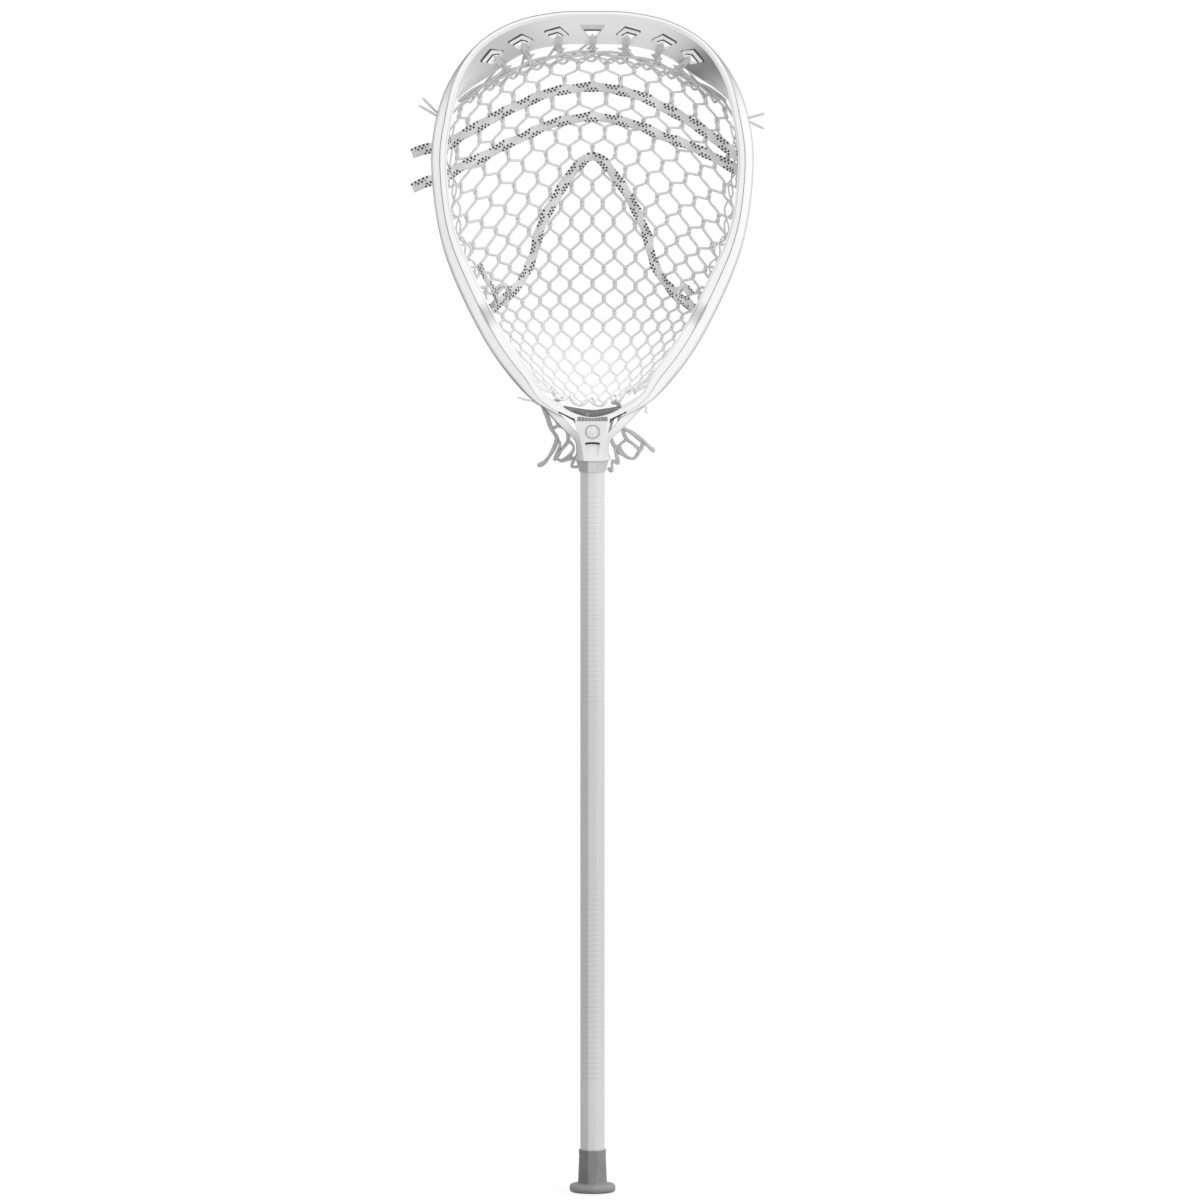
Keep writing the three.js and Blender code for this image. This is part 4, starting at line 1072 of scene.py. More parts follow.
# %% [markdown]
# ### String holes
# Seven holes for the top string go through the scoop. In the photograph each lies in a shallow sunk ledge, and under
# the upper edge of the ledge and of the hole lies a dark bent line, a shadow. So each takes a cutter for the hole, one
# for its ledge, and a narrow groove under the edge of both, whose walls are marked dark as a painted shadow. The outer
# six are skewed and mirrored from side to side. The middle one is even, only its hole has the groove, and its ledge is
# marked grey as painted shade. The holes lie lower towards the middle.

# %% String holes in the scoop
# The middle hole lies half way round, the others at these distances from it. hole_drops has the middle hole first.
hole_distances, hole_drops = (39.5, 83.5, 124.5), (29.5, 28.3, 27, 23.5)
ledge_depth, chevron_depth, ledge_line, hole_line = 0.55, 0.72, 4.3, 3.9
hole_shape = np.array([(-9.5, -2.7), (0.8, 0.3), (5.8, -7.3), (2.2, -12.6), (-4.6, -12.6)])
ledge_shape = np.array([(-13, 10.4), (3.6, 14.6), (11.5, -1.5), (3.4, -13.3), (-5.6, -13.3)])
middle_shape = np.array([(-8.6, 4.1), (8.6, 4.1), (2.6, -10.4), (-2.6, -10.4)])
middle_ledge_shape = np.array([(-13.4, 17.2), (13.4, 17.2), (3.2, -11.1), (-3.2, -11.1)])
half_round = outline_length / 2


def scoop_face(distance):
    """The middle of a string hole on the scoop's inner face, with the directions across, up and out of it."""
    _, inward, rise = station(distance)
    section = head_section(float(rise))
    lip, near, far, edge = (place(distance, *section[k]) for k in (3, 4, 6, 7))
    up = unit(near - far)
    across = -np.array([inward[1], 0, -inward[0]])
    drop = np.interp(abs(half_round - distance), (0, *hole_distances), hole_drops)
    centre = near - up * (drop - np.linalg.norm(lip - near))
    return centre, across, up, np.cross(across, up), float(np.dot(centre - edge, up))


def face_prism(distance, shape, mirror, depth, shade=0.0, radius=1.0):
    """A solid that stands on the scoop's face and goes into it by a depth."""
    centre, across, up, out, _ = scoop_face(distance)
    ring = shape * (mirror, 1)
    ring = soften(ring, radius) if radius else ring
    rings = [centre + ring[:, :1] * across + ring[:, 1:] * up + out * level for level in (-depth, 8)]
    return outwards(loft("cut_into_scoop", rings, shade=shade))


def chevron(distance, edge, line, mirror):
    """A narrow groove under a bent edge, marked dark as a painted shadow."""
    return face_prism(distance, np.vstack([edge, edge[::-1] - (0, line)]), mirror, chevron_depth, 0.93, 0)


above = (0, hole_line - 0.35)
through_cuts = [face_prism(half_round, middle_shape, 1, scoop_run / 2)]
# The middle ledge is marked grey: painted shade.
ledge_cuts = [face_prism(half_round, middle_ledge_shape, 1, ledge_depth, 0.36)]
hole_chevrons, ledge_chevrons = [chevron(half_round, middle_shape[:2] + above, hole_line, 1)], []
for at in hole_distances:
    for side in (1, -1):
        spot = half_round - side * at
        through_cuts.append(face_prism(spot, hole_shape, -side, scoop_run / 2))
        ledge_cuts.append(face_prism(spot, ledge_shape, -side, ledge_depth))
        ledge_chevrons.append(chevron(spot, ledge_shape[:3] + (0, 0.2), ledge_line, -side))
        hole_chevrons.append(chevron(spot, hole_shape[:3] + above, hole_line, -side))
print("string holes:", len(through_cuts), "their middles lie", hole_drops, "mm from the lip")

# %% [markdown]
# ### Windows in the sidewalls
# A row of windows with struts between them makes the sidewalls light. The front view hides them, so their number is a
# choice: there is a window wherever the sidewall string goes round the back rail. A window follows the bent wall. It
# is lofted along the outline, and its rings get shorter at both ends, which rounds its corners.

# %% Windows in the sidewalls
strut_width, window_front_gap, window_corner = 7, 3, 6
strut_rows = (-0.8, 3.4, 7, 11, 15.2, 18.6, 22)


def side_window(start, end, side):
    """A window with round corners through a sidewall, between two distances along the outline."""
    rings = []
    for share in 0.5 - 0.5 * np.cos(np.linspace(0, np.pi, 17)):
        distance = mix(start, end, share)
        from_end = min(share, 1 - share) * abs(end - start)
        turned = np.clip(1 - from_end / window_corner, 0, 1)
        corner = window_corner * (1 - math.sqrt(1 - turned ** 2))
        front = float(crest_y(station(distance)[2])) + flange_depth + window_front_gap + corner
        back = back_reach - bead_height - corner / 2
        insets = np.array([-4, -4, wall_in + 4, wall_in + 4])
        rings.append(place(np.full(4, side * distance), insets, np.array([front, back, back, front])))
    return outwards(loft("window", rings))


window_ends = [edge_distance(row) for row in strut_rows]
window_cuts = [side_window(high - strut_width / 2, low + strut_width / 2, side)
               for high, low in zip(window_ends, window_ends[1:]) for side in (1, -1)]
# The walls of the throat windows carry painted shade.
throat_cuts = [prism("throat_window", window_corners * (side, 1), front_far, back_far, 0.5, 1.2, 0.088)
               for side in (1, -1)]
print("windows:", len(window_cuts), "in the sidewalls and", len(throat_cuts), "in the throat")

# %% [markdown]
# ### Cutting the head
# The cutters go in this order because of what touches what: openings first, then the painted shadows of the ledges,
# the painted shadows of the holes, the ledges themselves, and at last the seats. The count of faces after each step
# tells at once when a Boolean has failed, because then most of the head is gone.

# %% Cut the head
for step, cutters in (
    ("openings", [*through_cuts, *window_cuts, *throat_cuts, throat_slot()]),
    ("outer dark lines", [*ledge_chevrons, slot_shadow(), window_shadow(1), window_shadow(-1)]),
    ("inner dark lines and ribs", [*hole_chevrons, *rib_cuts()]),
    ("ledges", ledge_cuts),
    ("seats", [socket, badge_disc("badge_seat", seat_gap, badge_thickness + 4, 72)]),
):
    subtract(head, joined(*cutters))
    print("head with its", step + ":", len(head.data.polygons), "faces")
subtract(head, screw_rod("screw_shank", shank_radius, 5, 60),
         screw_rod("screw_head", screw_head_radius, screw_seat - seat_gap, 60))
smooth(head, 32)
settle(head, "nylon", nylon, "head_frame")

# %% [markdown]
# ## The ball stop
# A strip of foam is glued on the ball stop wall. It is thick in the middle and runs out to thin ends, its front edge
# is cut at a slant, and its open cells make it look dark. Its sections follow the wall that it lies on.

# %% Ball stop
pad_thickness, pad_end, pad_half, pad_front_gap, pad_back_gap = 3.4, 0.5, 35, 2.5, 5.5
pad_front_slant, pad_back_slant = 20, 14


def pad_ring(t):
    """The section of the foam. t is 0 in the middle and 1 at an end."""
    distance = t * pad_half
    section = head_section(float(station(distance)[2]))
    inner = section[2:9, 0].max() + seat_gap
    outer = inner + mix(pad_thickness, pad_end, t * t)
    front = section[1][1] + pad_front_gap + pad_front_slant * t ** 4
    back = back_reach - pad_back_gap - 2 * rail_lip - pad_back_slant * t ** 4
    ring = soften([(inner, front), (outer, front + pad_end), (outer, back), (inner, back)], (0.4, 1.1, 1.1, 0.4), 5)
    return place(np.full(len(ring), distance), ring[:, 0], ring[:, 1])


ball_stop = outwards(loft("ball_stop_foam", [pad_ring(t) for t in -np.sin(np.linspace(-np.pi / 2, np.pi / 2, 49))]))
smooth(ball_stop, 50)
settle(ball_stop, "foam", foam, "ball_stop")

# %% [markdown]
# ## The badge
# The badge is a plain disc with a raised rim, pressed into its seat in the plate. It starts as a cylinder. Its front is
# inset twice and pushed in behind the rim, and once more to raise the middle of the disc again.

# %% Badge
badge = badge_disc("throat_badge_disc", 0, badge_thickness, 96)
choose(badge)
bpy.ops.object.mode_set(mode="EDIT")
bpy.ops.mesh.select_mode(type="FACE")
bpy.ops.mesh.select_all(action="DESELECT")
bpy.ops.object.mode_set(mode="OBJECT")
for face in badge.data.polygons:
    face.select = face.normal.dot(badge_out) > 0.9
bpy.ops.object.mode_set(mode="EDIT")
bpy.ops.mesh.inset(thickness=0.25 * MM)
bpy.ops.mesh.inset(thickness=0.55 * MM)
bpy.ops.mesh.extrude_region_shrink_fatten(TRANSFORM_OT_shrink_fatten={"value": -0.35 * MM})
bpy.ops.mesh.inset(thickness=0.35 * MM)
bpy.ops.mesh.extrude_region_shrink_fatten(TRANSFORM_OT_shrink_fatten={"value": 0.22 * MM})
bpy.ops.object.mode_set(mode="OBJECT")
finish_modifier(badge, "BEVEL", width=0.12 * MM, segments=2, limit_method="ANGLE")
smooth(badge, 40)
settle(badge, "badge", badge_plastic, "throat_badge")

# %% [markdown]
# ## The collar and the screw
# The collar is a tapered ferrule that hides the end of the socket. It is three rings of the tube's section, wider to
# the top, with a bore of the same section, and it gets small bevels, because light catches them as thin bright lines.
# The screw's solid is right as it is, so only its finish changes.

# %% Collar and screw
collar_top = throat_bottom - seat_gap
collar_foot = collar_top - collar_height
collar_rim = collar_top_wall + 0.5
collar = outwards(loft("throat_collar_ferrule", [
    shaft_ring(collar_foot_wall, collar_foot), shaft_ring(mix(collar_foot_wall, collar_rim, 0.92), collar_top - 1),
    shaft_ring(collar_rim, collar_top),
]))
subtract(collar, outwards(loft("bore", [shaft_ring(seat_gap, z) for z in (collar_foot - 4, collar_top + 4)])))
finish_modifier(collar, "BEVEL", width=0.3 * MM, segments=2, limit_method="ANGLE", angle_limit=math.radians(50))
smooth(collar, 30)
settle(collar, "ferrule", ferrule, "throat_collar")

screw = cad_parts["head_screw"]
for slot in screw.material_slots:
    slot.material = screw_steel
print("screw:", len(screw.data.polygons), "faces of its solid")

# %% [markdown]
# ## The shaft
# The tube has eight sides with rounded corners. Two stretches of it are grooved across for grip, and between them it
# is smooth. Its rings run up the outside, with four for each groove, and down again on the inside, so that the tube is
# hollow when the cap is off.

# %% Shaft
groove_depth, groove_width = 0.34, 1.7
grooved_zones = ((119, 316, 38), (511.5, 724, 41))

tube_face = [(shaft_bottom, 0)]
for low, high, count in grooved_zones:
    for middle in np.linspace(low, high, count):
        tube_face += [(middle + share * groove_width, -groove_depth * deep)
                      for share, deep in ((-0.5, 0), (-0.14, 1), (0.14, 1), (0.5, 0))]
walls = [*tube_face, (shaft_top, 0), (shaft_top, -shaft_wall), (shaft_bottom, -shaft_wall)]
shaft = outwards(loft("shaft_tube", [shaft_ring(margin, z, 1.5) for z, margin in walls], closed=True))
subtract(shaft, screw_rod("screw_hole", shank_radius, 5, 30))
smooth(shaft, 28)
settle(shaft, "tube", tube_metal, "shaft")

# %% [markdown]
# ## The end cap
# The cap is moulded rubber: a round foot with a full edge, a slightly flared sleeve that follows the tube's eight
# sides, a lip round its mouth and the bore inside. All of it is one stack of rings, from the recess under the foot up
# the outside and down the bore. Its rings are circles in the foot and rounded octagons in the sleeve and the bore.

# %% End cap
cap_turn = np.linspace(0, 2 * np.pi, 96, endpoint=False)
foot_top, foot_edge, sleeve_top, cap_sharpness = 8.6, 3.2, foot_height + sleeve_length - 2.6, 26


def eight_sides(margin):
    """Distances from the axis to a rounded octagon that lies outside the tube by a margin."""
    half, depth = shaft_width / 2, shaft_depth / 2
    slant = unit(np.array([depth * (1 - side_share), half * (1 - front_share)]))
    slant_reach = slant @ (half, depth * side_share)
    total = 0
    for (x, y), reach in (((1, 0), half), ((0, 1), depth), (slant, slant_reach), (slant * (1, -1), slant_reach)):
        total += (np.abs(np.cos(cap_turn) * x + np.sin(cap_turn) * y) / (reach + margin)) ** cap_sharpness
    return total ** (-1 / cap_sharpness)


def cap_ring(z, radius):
    return np.column_stack([radius * np.cos(cap_turn), radius * np.sin(cap_turn), np.full(len(cap_turn), z)])


rim = foot_radius - foot_edge
quarter = np.linspace(0, np.pi / 2, 9)
under = [cap_ring(z, radius) for z, radius in ((0.7, 13.5), (0.6, 14.8), (0, 16))]
low_edge = [cap_ring(foot_edge * (1 - np.cos(a)), rim + foot_edge * np.sin(a)) for a in quarter]
high_edge = [cap_ring(foot_top - foot_edge * (1 - np.sin(a)), rim + foot_edge * np.cos(a)) for a in quarter]
sleeve = [cap_ring(foot_top + up, eight_sides(sleeve_foot_wall + swell))
          for up, swell in ((0.1, 1.1), (0.6, 0.4), (1.6, 0.05), (3, 0))]
mouth = [cap_ring(sleeve_top - down, eight_sides(sleeve_top_wall + swell))
         for down, swell in ((4.4, -0.25), (3.4, 0.05), (1.0, 0.1), (0.2, -0.1), (0, -0.4))]
bore = [cap_ring(z, eight_sides(seat_gap)) for z in (sleeve_top - 0.5, foot_height)]
cap = outwards(loft("end_cap_rubber", [*under, *low_edge, *high_edge, *sleeve, *mouth, *bore]))
print("end cap:", [round(size * 1000, 1) for size in cap.dimensions], "mm")
smooth(cap, 35)
settle(cap, "rubber", rubber, "end_cap", body="end_cap")

# %% [markdown]
# ## The net
# Each knot of the net is two plies laid round each other, upright on the net's surface. Between the knots run single
# strands. They leave a knot along its line and only then turn aside, so that each gap has round corners. Knots and
# strands are repeated hundreds of times, and so each has only a few dozen faces.

# %% Net
upper_strand, middle_strand, lower_strand = 1.3, 1.5, 1.15
knot_ply, knot_spread, knot_over = 1.25, 1.2, 1.35
long_knot, short_knot = 0.25, 0.11
net = Gather()


def strand_radius(row):
    radii = (upper_strand, middle_strand, middle_strand, lower_strand, 0.8)
    return float(np.interp(row, (0, 7, 13, 19, net_rows), radii))


def knot_reach(row):
    """Half the length of a knot, in rows: the knots of the lower net are short."""
    return mix(long_knot, short_knot, float(ease(row, 4, 9)))


def net_frame(column, row):
    normal = net_normal(column, row)
    down = unit(net_point(column, row + 0.1) - net_point(column, row - 0.1))
    return np.cross(normal, down), normal


def add_knot(column, row):
    reach = knot_reach(row) * knot_over
    low, high = max(row - reach, -1), min(row + reach, net_rows)
    rows = np.linspace(low, high, 6)
    middle = net_point(np.full(6, float(column)), rows)
    across, normal = net_frame(np.full(6, float(column)), rows)
    thin = strand_radius(row) / upper_strand * (1.25 - 0.25 * float(ease(row, 1, 5)))
    turn = np.linspace(-0.25, 1.05, 6)[:, None] * np.pi
    offset = (across * np.cos(turn) + normal * np.sin(turn) * 0.8) * knot_spread * thin
    radii = np.array([0.7, 1, 1.05, 1.05, 1, 0.7]) * knot_ply * thin
    for sign in (1, -1):
        add_cord(net, middle + sign * offset, radii, 5)


def add_strand(column, row, side):
    """From the lower end of a knot to the upper end of the next knot down, on one side of it."""
    leave, meet = knot_reach(row), knot_reach(row + 1)
    start = net_point(column, row + leave)
    end = net_point(column + side, row + 1 - meet)
    lead = 0.26 * np.linalg.norm(end - start)
    first = start + unit(net_point(column, row + leave + 0.1) - start) * lead
    last = end - unit(net_point(column + side, row + 1 - meet + 0.1) - end) * lead
    t = np.linspace(0, 1, 6)[:, None]
    path = (1 - t) ** 3 * start + 3 * t * (1 - t) ** 2 * first + 3 * t ** 2 * (1 - t) * last + t ** 3 * end
    add_cord(net, path, np.full(len(path), strand_radius(row)), 5)


knots, strands = set(), set()
for row in range(net_rows):
    reach = net_columns - (2 if row % 2 == 0 else 1)
    for column in range(-reach, reach + 1, 2):
        knots |= {(column, row - 1), (column, row + 1), (column - 1, row), (column + 1, row)}
        strands |= {(column, row - 1, -1), (column, row - 1, 1), (column - 1, row, 1), (column + 1, row, -1)}
for column, row in sorted(knots):
    add_knot(column, row)
for column, row, side in sorted(strands):
    add_strand(column, row, side)
print("knots:", len(knots), "strands:", len(strands))
settle(net.piece("pocket_net_knotted"), "net", net_cord, "pocket_net")

# %% [markdown]
# ## The top string
# One long cord ties the net to the scoop. It goes up behind the scoop, comes through a hole, runs down the inner face
# and takes up a cell of the net, and it does so several times over. So two or three strands lie side by side at each
# hole, a tight turn gathers them at the foot of the scoop, and a double band runs from hole to hole above the net.

# %% Routes at the scoop and the rails
string_radius, string_room = 1.3, 0.6
string_clear = string_radius + string_room
string_lift = net_thickness / 2 + string_radius + 2 * string_room
scoop_wall, face_lead, hole_lift = 4.6, 12.6, -8.6
top_bridges = (-3, None, -2, -1, 0, None, 1, 2, None, 3)
top_pass, top_strand, top_over, band_reach = -0.2, -0.62, -0.95, 11.4
wrap_rows, wrap_pitch, wrap_corner, run_spacing = (1.8, 5, 9, 12.3, 17, 19.8), 3.4, 1.4, 17
foot_columns, foot_pitch, foot_wrap_row, foot_pass, foot_strand = (-8, -4, 0, 4, 8), 4, 20.8, 0.9, 0.4
loose_ends = {"top_left": (-0.3, 14.6, 14.5, 8), "side_left": (-0.15, 17.8, 10.4, 2),
              "top_right": (0, 15.9, 4.4, 8), "side_right": (0.2, 14.5, -6.7, 2)}


def pass_cell(column, pass_row, strand_row):
    """From behind the net through a cell to its face, round one strand."""
    return [beside_net(column - 0.5, strand_row, string_lift), beside_net(column, pass_row),
            beside_net(column + 0.5, strand_row, -string_lift)]


def hole_face(hole):
    """The scoop's face at a hole: 0 is the middle one, 1 to 3 are on the right and -1 to -3 on the left."""
    return scoop_face(half_round - (np.sign(hole) * hole_distances[abs(hole) - 1] if hole else 0))


def through_hole(hole):
    """Up behind the scoop, through a hole and down its inner face."""
    centre, _, up, out, edge = hole_face(hole)
    behind = -scoop_wall - string_clear
    route = [(-edge, behind), (-face_lead, behind), (hole_lift, -scoop_wall / 2), (-face_lead, string_clear),
             (-edge, string_clear)]
    return [centre + up * high + out * level for high, level in route]


def beside_rail(side, row, inset, y, shift=0.0):
    return place(edge_distance(row) + shift, inset, y) * (side, 1, 1)


def loose_end(side, name):
    """The start of a string: it hangs outside the rail and comes in through it."""
    row, reach, lift, y = loose_ends[name]
    root = beside_rail(side, row, 0, y)
    tip = root + np.array([side * reach, 0, lift])
    inside = wall_in + bead_swell + string_clear
    return [tip, mix(tip, root, 0.5), root, beside_rail(side, row, side_inset, y), beside_rail(side, row, inside, y)]


def rail_wrap(side, row):
    """One turn of a string round the rail."""
    inner, outer = wall_in + bead_swell + string_clear, side_inset - string_clear
    back, front = back_reach + string_clear, back_reach - bead_height - string_clear
    turn = [
        (-1, inner, (back + front) / 2), (-0.8, inner, back - wrap_corner), (-0.6, inner - wrap_corner, back),
        (-0.3, outer + wrap_corner, back), (-0.1, outer, back - wrap_corner), (0.1, outer, front + wrap_corner),
        (0.3, outer + wrap_corner, front), (0.6, inner - wrap_corner, front), (0.8, inner, front + wrap_corner),
        (1, inner, (back + front) / 2),
    ]
    return [beside_rail(side, row, inset, y, -share * wrap_pitch) for share, inset, y in turn]


def rail_run(side, start, end):
    """Points of a string along the inside of the rail, between two distances along the outline."""
    count = max(1, round(abs(end - start) / run_spacing))
    points = []
    for k in range(1, count):
        distance = mix(start, end, k / count)
        section = head_section(float(station(distance)[2]))
        inset = section[6:9, 0].max() + string_clear
        points.append(place(distance, inset, back_reach - bead_height / 2) * (side, 1, 1))
    return points


print("cells that the top string takes up:", len(top_bridges) + 1, "through", len(through_cuts), "holes")

# %% [markdown]
# ### The top string, piece by piece
# The long run comes first. Two thicker strands then weave past each other as the band, two more come down from each
# hole to a tight turn, and short strands reach from the band to the first knots. The strands at the holes and the
# knots differ a little each time, by seeded random numbers, because no two turns of a string are tied alike.

# %% Top string
def top_route():
    points = loose_end(-1, "top_left")
    for gap in range(len(top_bridges) + 1):
        column = 2 - net_columns + 2 * gap
        points += pass_cell(column, top_pass, top_strand)
        if gap < len(top_bridges):
            bridge = top_bridges[gap]
            points += [beside_net(column + 1, top_over)] if bridge is None else through_hole(bridge)
    return [*points, beside_net(net_columns - 1, top_over), *reversed(loose_end(1, "top_right"))]


def band_route(phase):
    """One strand of the band above the net: it weaves up and down past its partner."""
    columns = np.linspace(-band_reach, band_reach, 60)
    swing = np.sin(columns * 1.1 + phase)
    points = beside_net(columns, -0.86 - 0.1 * swing, 1.6 + 1.5 * np.cos(columns * 1.1 + phase))
    return points + np.array([0, 0, 1.6]) + np.outer(swing, [0, 0, 1.0])


def hole_strands(gather, hole):
    """Two more strands down the face from a hole to the band, and the tight turn that gathers them."""
    centre, across, up, out, edge = hole_face(hole)
    foot = centre - up * (edge + 4.5) + out * string_clear
    for shift, fan in ((2.4, 3.4), (-2.4, -3.6)):
        spread = fan + rng.normal(0, 0.5)
        start = centre + up * hole_lift - out * scoop_wall / 2 + across * shift * 0.8
        crest = centre - up * (face_lead - 0.4) + out * string_clear + across * shift * 0.8
        end = foot + across * spread * 0.35
        tail = foot - up * 7 + across * spread * 1.6 - out * 4
        path = [start, crest, mix(crest, end, 0.55) + across * shift * 0.2, end, tail]
        add_cut_cord(gather, even_steps(path, 1.6), string_radius, 7)
    turns = np.linspace(0, 2.4 * 2 * np.pi, 40)[:, None]
    coil = foot + across * np.cos(turns) * 3.4 + out * np.sin(turns) * 2.2 - up * (turns / 5 - 1)
    add_cut_cord(gather, coil, string_radius * 0.85, 6)


def spare_turns(gather):
    """Short doubled strands between the band and the net's first knots."""
    for column in range(3 - net_columns, net_columns - 2, 2):
        for side in (-1, 1):
            start = beside_net(column + side + rng.normal(0, 0.2), -0.82 + rng.normal(0, 0.08), 2)
            end = beside_net(column + rng.normal(0, 0.1), -0.1 + rng.normal(0, 0.12), 1)
            bend = mix(start, end, 0.5) + np.array([rng.normal(0, 0.8), -1, rng.normal(0, 0.8)])
            add_cut_cord(gather, even_steps([start, bend, end], 1.8), 1.1, 6)


rng = np.random.default_rng(11)
top = Gather()
add_cut_cord(top, even_steps(top_route(), 1.5), string_radius, 8)
for phase in (0, np.pi):
    add_cut_cord(top, even_steps(band_route(phase), 1.6), string_radius * 1.2, 7)
for hole in range(-3, 4):
    hole_strands(top, hole)
spare_turns(top)
settle(top.piece("top_string_laid"), "string", string_cord, "top_string")

# %% [markdown]
# ## The sidewall strings
# Each sidewall string runs down inside the back rail, goes round the rail once in each window and holds the edge of
# the net. Its start hangs outside the rail. Beside it two thinner strands wind down the edge of the net, where the
# photograph shows a tangle of edge knots, and a short spare end shows on each side.

# %% Sidewall strings
def side_route(side, name):
    points = loose_end(side, name)
    reached = edge_distance(loose_ends[name][0])
    for row in wrap_rows:
        centre = edge_distance(row)
        points += rail_run(side, reached, centre + wrap_pitch) + rail_wrap(side, row)
        reached = centre - wrap_pitch
    return points


def edge_lacing(side, phase):
    """A thin strand that winds loosely down the edge of the net."""
    rows = np.arange(0.3, 21.4, 0.4)
    swing = np.sin(rows * 2.9 + phase) * 0.22 + np.sin(rows * 1.3 + 2 * phase) * 0.14
    return beside_net(side * (11.62 + swing), rows, 0.9 * np.cos(rows * 2.9 + phase))


spare_ends = {
    -1: [(-56, 27.5, 817), (-62, 28.5, 821), (-70, 28.5, 822.6), (-77.5, 28, 825)],
    1: [(50, 28, 812), (53, 29, 815.5), (56.5, 28.5, 814), (54.5, 27.5, 810.5), (57.5, 27, 809)],
}

for side, name, node in ((-1, "side_left", "sidewall_string_left"), (1, "side_right", "sidewall_string_right")):
    side_string = Gather()
    add_cut_cord(side_string, even_steps(side_route(side, name), 1.5), string_radius, 8)
    for phase in (0.4, 2.6):
        add_cut_cord(side_string, even_steps(edge_lacing(side, phase), 1.8), 0.85, 6)
    add_cut_cord(side_string, even_steps(spare_ends[side], 1.2), 1.05, 7)
    settle(side_string.piece(node + "_laid"), "string", string_cord, node)

# %% [markdown]
# ## The bottom string
# The bottom string ties the foot of the net to both rails. It starts with a turn round the left rail, runs down inside
# it, goes through every second cell of the last row and ends with a turn round the right rail.

# %% Bottom string
def below_net(column):
    return net_point(column, net_rows) - np.array([0, 0, string_clear])


def foot_route():
    wrap_at, run_end = edge_distance(foot_wrap_row), edge_distance(net_rows)
    points = rail_wrap(-1, foot_wrap_row) + rail_run(-1, wrap_at - wrap_pitch, run_end)
    for column in foot_columns:
        points += [below_net(column - foot_pitch / 2), *pass_cell(column, net_rows - foot_pass, net_rows - foot_strand)]
    points.append(below_net(foot_columns[-1] + foot_pitch / 2))
    return points + rail_run(1, run_end, wrap_at - wrap_pitch) + list(reversed(rail_wrap(1, foot_wrap_row)))


foot_string = Gather()
add_cut_cord(foot_string, even_steps(foot_route(), 1.5), string_radius, 8)
settle(foot_string.piece("bottom_string_laid"), "string", string_cord, "bottom_string")

# %% [markdown]
# ## The laces
# Three flat woven laces cross the pocket and guide the ball. A lace is threaded through the net, so it isn't a flat
# band: it leans forwards and backwards from cell to cell, narrows where a knot holds it, and shows its tracer at one
# edge and then at the other. Its section is a flat loop of points, swept with the direction in which its face looks.

# %% Laces
lace_width, lace_thickness, lace_gap, lace_steps = 10.8, 1.8, 0.5, 28
lace_tail_reach, lace_tail_fall, lace_tuck, lace_wall_y = 20, 8, 5, 8
upper_lace = [(-11.4, 1.3), (-9, 1.45), (-6, 1.5), (-3, 1.4), (0, 1.38), (3, 1.48), (6, 1.68), (9, 1.75), (11.4, 1.8)]
lower_lace = [(-11.4, 2.7), (-9, 3.1), (-6, 3.3), (-3, 3.14), (0, 3.05), (3, 3.15), (6, 3.2), (9, 2.8), (11.4, 2.5)]
lace_arm = [(1.6, 5.9), (2.7, 6.7), (4.1, 7.9), (5, 9), (5.5, 10.1), (6.2, 11.4), (8, 12.7), (11.2, 13.9)]
lace_top, v_start = (0, 5.28), 11
lace_lean, lace_narrow = math.radians(15), 0.18


def lace_end(side, row, reach):
    """From inside the rail to the end of a lace. A negative reach keeps the end inside the wall."""
    stops = []
    for inset in (wall_in + bead_swell, side_inset, -reach / 2, -reach):
        if inset < min(side_inset, -reach):
            continue
        point = beside_rail(side, row, inset, lace_wall_y)
        point[2] -= lace_tail_fall * max(0, -inset) / lace_tail_reach
        stops.append((point, np.array([0, -1, 0])))
    return stops


def lace_section(count=14):
    """Points round a flat loop, from one edge over the face to the other edge and back."""
    turn = np.linspace(0, 2 * np.pi, count, endpoint=False)
    across = np.sign(np.cos(turn)) * np.abs(np.cos(turn)) ** 0.8
    out = np.sign(np.sin(turn)) * np.abs(np.sin(turn)) ** 0.6
    return across, out


def add_lace(gather, path, left_reach, right_reach, start=0.0):
    """A lace beside the net. start says how far along its pattern it begins."""
    route = spline(np.column_stack([path, np.zeros(len(path))]), np.linspace(0, 1, 4 * lace_steps + 1))
    offset = (net_thickness + lace_thickness) / 2 + lace_gap
    middle = list(zip(beside_net(route[:, 0], route[:, 1], np.full(len(route), offset)),
                      net_normal(route[:, 0], route[:, 1])))
    stops = [*reversed(lace_end(-1, path[0][1], left_reach)), *middle, *lace_end(1, path[-1][1], right_reach)]
    points = np.array([point for point, _ in stops])
    rows = np.column_stack([points, np.array([normal for _, normal in stops])])
    at = lengths_along(points)
    even = np.linspace(0, at[-1], int(at[-1] / 1.6))
    rows = np.stack([np.interp(even, at, rows[:, i]) for i in range(6)], axis=1)
    line, normal = rows[:, :3], unit(rows[:, 3:])
    ahead = unit(np.gradient(line, axis=0))
    side = unit(np.cross(normal, ahead))
    face = np.cross(ahead, side)
    wave = (start + even) / tracer_period * 2 * np.pi
    lean = lace_lean * np.sin(wave)
    half = lace_width / 2 * (1 + 0.06 - lace_narrow * (0.5 + 0.5 * np.cos(wave + 0.6)) ** 3)
    line = line + face * (0.5 * np.sin(wave + 1.1))[:, None] + side * (0.35 * np.sin(wave * 0.63))[:, None]
    across, out = lace_section()
    turned = side * np.cos(lean)[:, None] + face * np.sin(lean)[:, None]
    raised = face * np.cos(lean)[:, None] - side * np.sin(lean)[:, None]
    rings = line[:, None] + turned[:, None] * (half[:, None] * across)[..., None] \
        + raised[:, None] * (lace_thickness / 2 * out)[:, None]
    marks = np.append(0.5 - 0.5 * across, 0.5 - 0.5 * across[0])
    gather.rings(rings, marks, start + even)


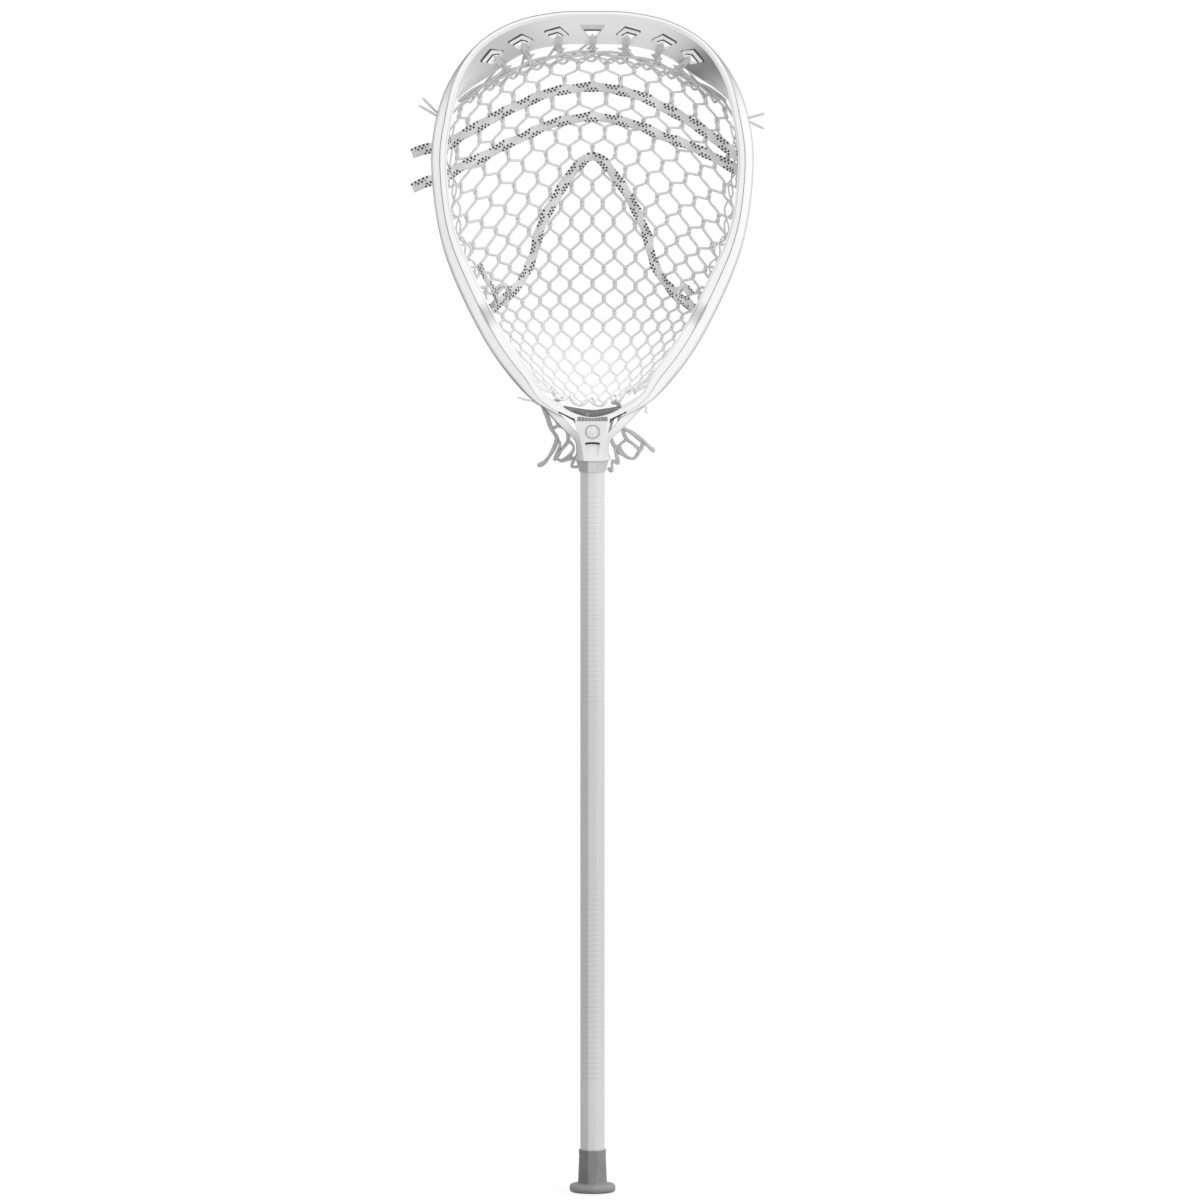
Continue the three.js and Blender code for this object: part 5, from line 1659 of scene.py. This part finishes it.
for node, path in (("shooting_lace_upper", upper_lace), ("shooting_lace_lower", lower_lace)):
    lace = Gather()
    add_lace(lace, path, lace_tail_reach, -lace_tuck)
    settle(lace.piece(node + "_woven"), "lace", lace_weave, node)

v_lace = Gather()
v_path = [*[(-column, row) for column, row in reversed(lace_arm)], lace_top, *lace_arm]
add_lace(v_lace, v_path, -lace_tuck, -lace_tuck, v_start)
for end in ([(-97, 14, 926), (-102, 10, 938), (-110, 12, 950), (-117, 10, 966)],
            [(-93, 15, 922), (-86, 14, 934), (-92, 9, 944), (-101, 12, 936), (-96, 15, 924)],
            [(97, 15, 922), (89, 14, 932), (95, 10, 943), (104, 12, 934)]):
    line = even_steps(end, 1.4)
    side, other = carried_sides(line)
    across, out = lace_section(10)
    rings = line[:, None] + side[:, None] * (out * 1.1)[:, None] + other[:, None] * (across * 2.7)[:, None]
    v_lace.rings(rings, np.append(0.5 - 0.5 * across, 0), 4 + lengths_along(line))
settle(v_lace.piece("v_lace_woven"), "lace", lace_weave, "v_lace")

# %% [markdown]
# ## The net's tails
# The spare net below the bottom string is gathered behind the throat, and two bunches of it hang out on the left and
# the right. Their strands are the net's own cord, doubled, and painted darker as painted shade behind the throat. Their
# points were read from the photograph, as shares of one length from the middle of the seat: across, upwards and
# backwards.

# %% Net tails
tail_size, tail_standoff, tail_radius, tie_drop = 60, 8, 1.6, 0.4
tail_ply, tail_sway, tail_turn, tail_full = 1.5, 0.75, 26, 1.3
left_tail = [
    [(-0.66, 0.16, -0.02), (-0.84, 0.05, 0), (-0.776, -0.122, 0.02), (-0.71, -0.32, 0.06), (-0.617, -0.48, 0.08),
     (-0.64, -0.6, 0.1), (-0.73, -0.78, 0.12), (-0.85, -0.93, 0.14), (-0.95, -0.97, 0.15)],
    [(-0.617, -0.48, 0.08), (-0.56, -0.59, 0.1), (-0.61, -0.76, 0.12), (-0.66, -0.88, 0.13)],
    [(-0.66, 0.16, -0.02), (-0.58, -0.02, 0), (-0.64, -0.14, 0.02), (-0.598, -0.26, 0.04), (-0.71, -0.32, 0.06)],
    [(-0.598, -0.26, 0.04), (-0.45, -0.35, 0.06), (-0.42, -0.52, 0.08), (-0.54, -0.7, 0.1), (-0.66, -0.88, 0.13)],
    [(-0.42, -0.52, 0.08), (-0.33, -0.62, 0.08), (-0.34, -0.72, 0.1), (-0.52, -0.88, 0.12), (-0.6, -0.86, 0.12)],
    [(-0.52, -0.88, 0.12), (-0.32, -0.84, 0.1), (-0.36, -0.98, 0.1), (-0.24, -0.98, 0.08)],
]
right_tail = [
    [(0.46, 0.1, -0.02), (0.494, -0.28, 0.02), (0.67, -0.38, 0.06), (0.87, -0.54, 0.1), (1.07, -0.72, 0.12)],
    [(0.494, -0.28, 0.02), (0.59, -0.5, 0.06), (0.67, -0.56, 0.08), (0.83, -0.68, 0.1), (0.87, -0.54, 0.1)],
    [(0.59, -0.5, 0.06), (0.47, -0.62, 0.08), (0.55, -0.78, 0.1), (0.71, -0.84, 0.1), (0.83, -0.68, 0.1)],
    [(0.46, 0.1, -0.02), (0.3, -0.3, 0.02), (0.33, -0.52, 0.06), (0.39, -0.64, 0.08), (0.49, -0.76, 0.09),
     (0.55, -0.78, 0.1)],
    [(0.47, -0.62, 0.08), (0.39, -0.64, 0.08), (0.41, -0.76, 0.08), (0.44, -0.92, 0.08), (0.35, -0.88, 0.08),
     (0.33, -1.06, 0.08), (0.27, -1, 0.08)],
]


def net_tail(node, strands, tie_column):
    """A bunch of strands behind the throat. The first is tied to the net and is thicker."""
    tail = Gather()
    tie = beside_net(tie_column, net_rows - tie_drop, -(net_thickness / 2 + tail_radius - seat_gap))
    for k, shares in enumerate(strands):
        points = [np.array([x * tail_size, back_reach + tail_standoff + y * tail_size, seat_height + z * tail_size])
                  for x, z, y in shares]
        line = even_steps([tie, *points] if k == 0 else points, 1.5)
        side, other = carried_sides(line)
        turn = lengths_along(line)[:, None] / tail_turn * np.pi + rng.uniform(0, 3)
        sway = (side * np.cos(turn) + other * np.sin(turn)) * tail_sway
        for sign in (1, -1):
            add_cut_cord(tail, line + sign * sway, tail_ply * (tail_full if k == 0 else 1), 6)
    settle(tail.piece(node + "_knotted"), "net", tail_cord, node)


net_tail("net_tail_left", left_tail, -5.5)
net_tail("net_tail_right", right_tail, 3.5)
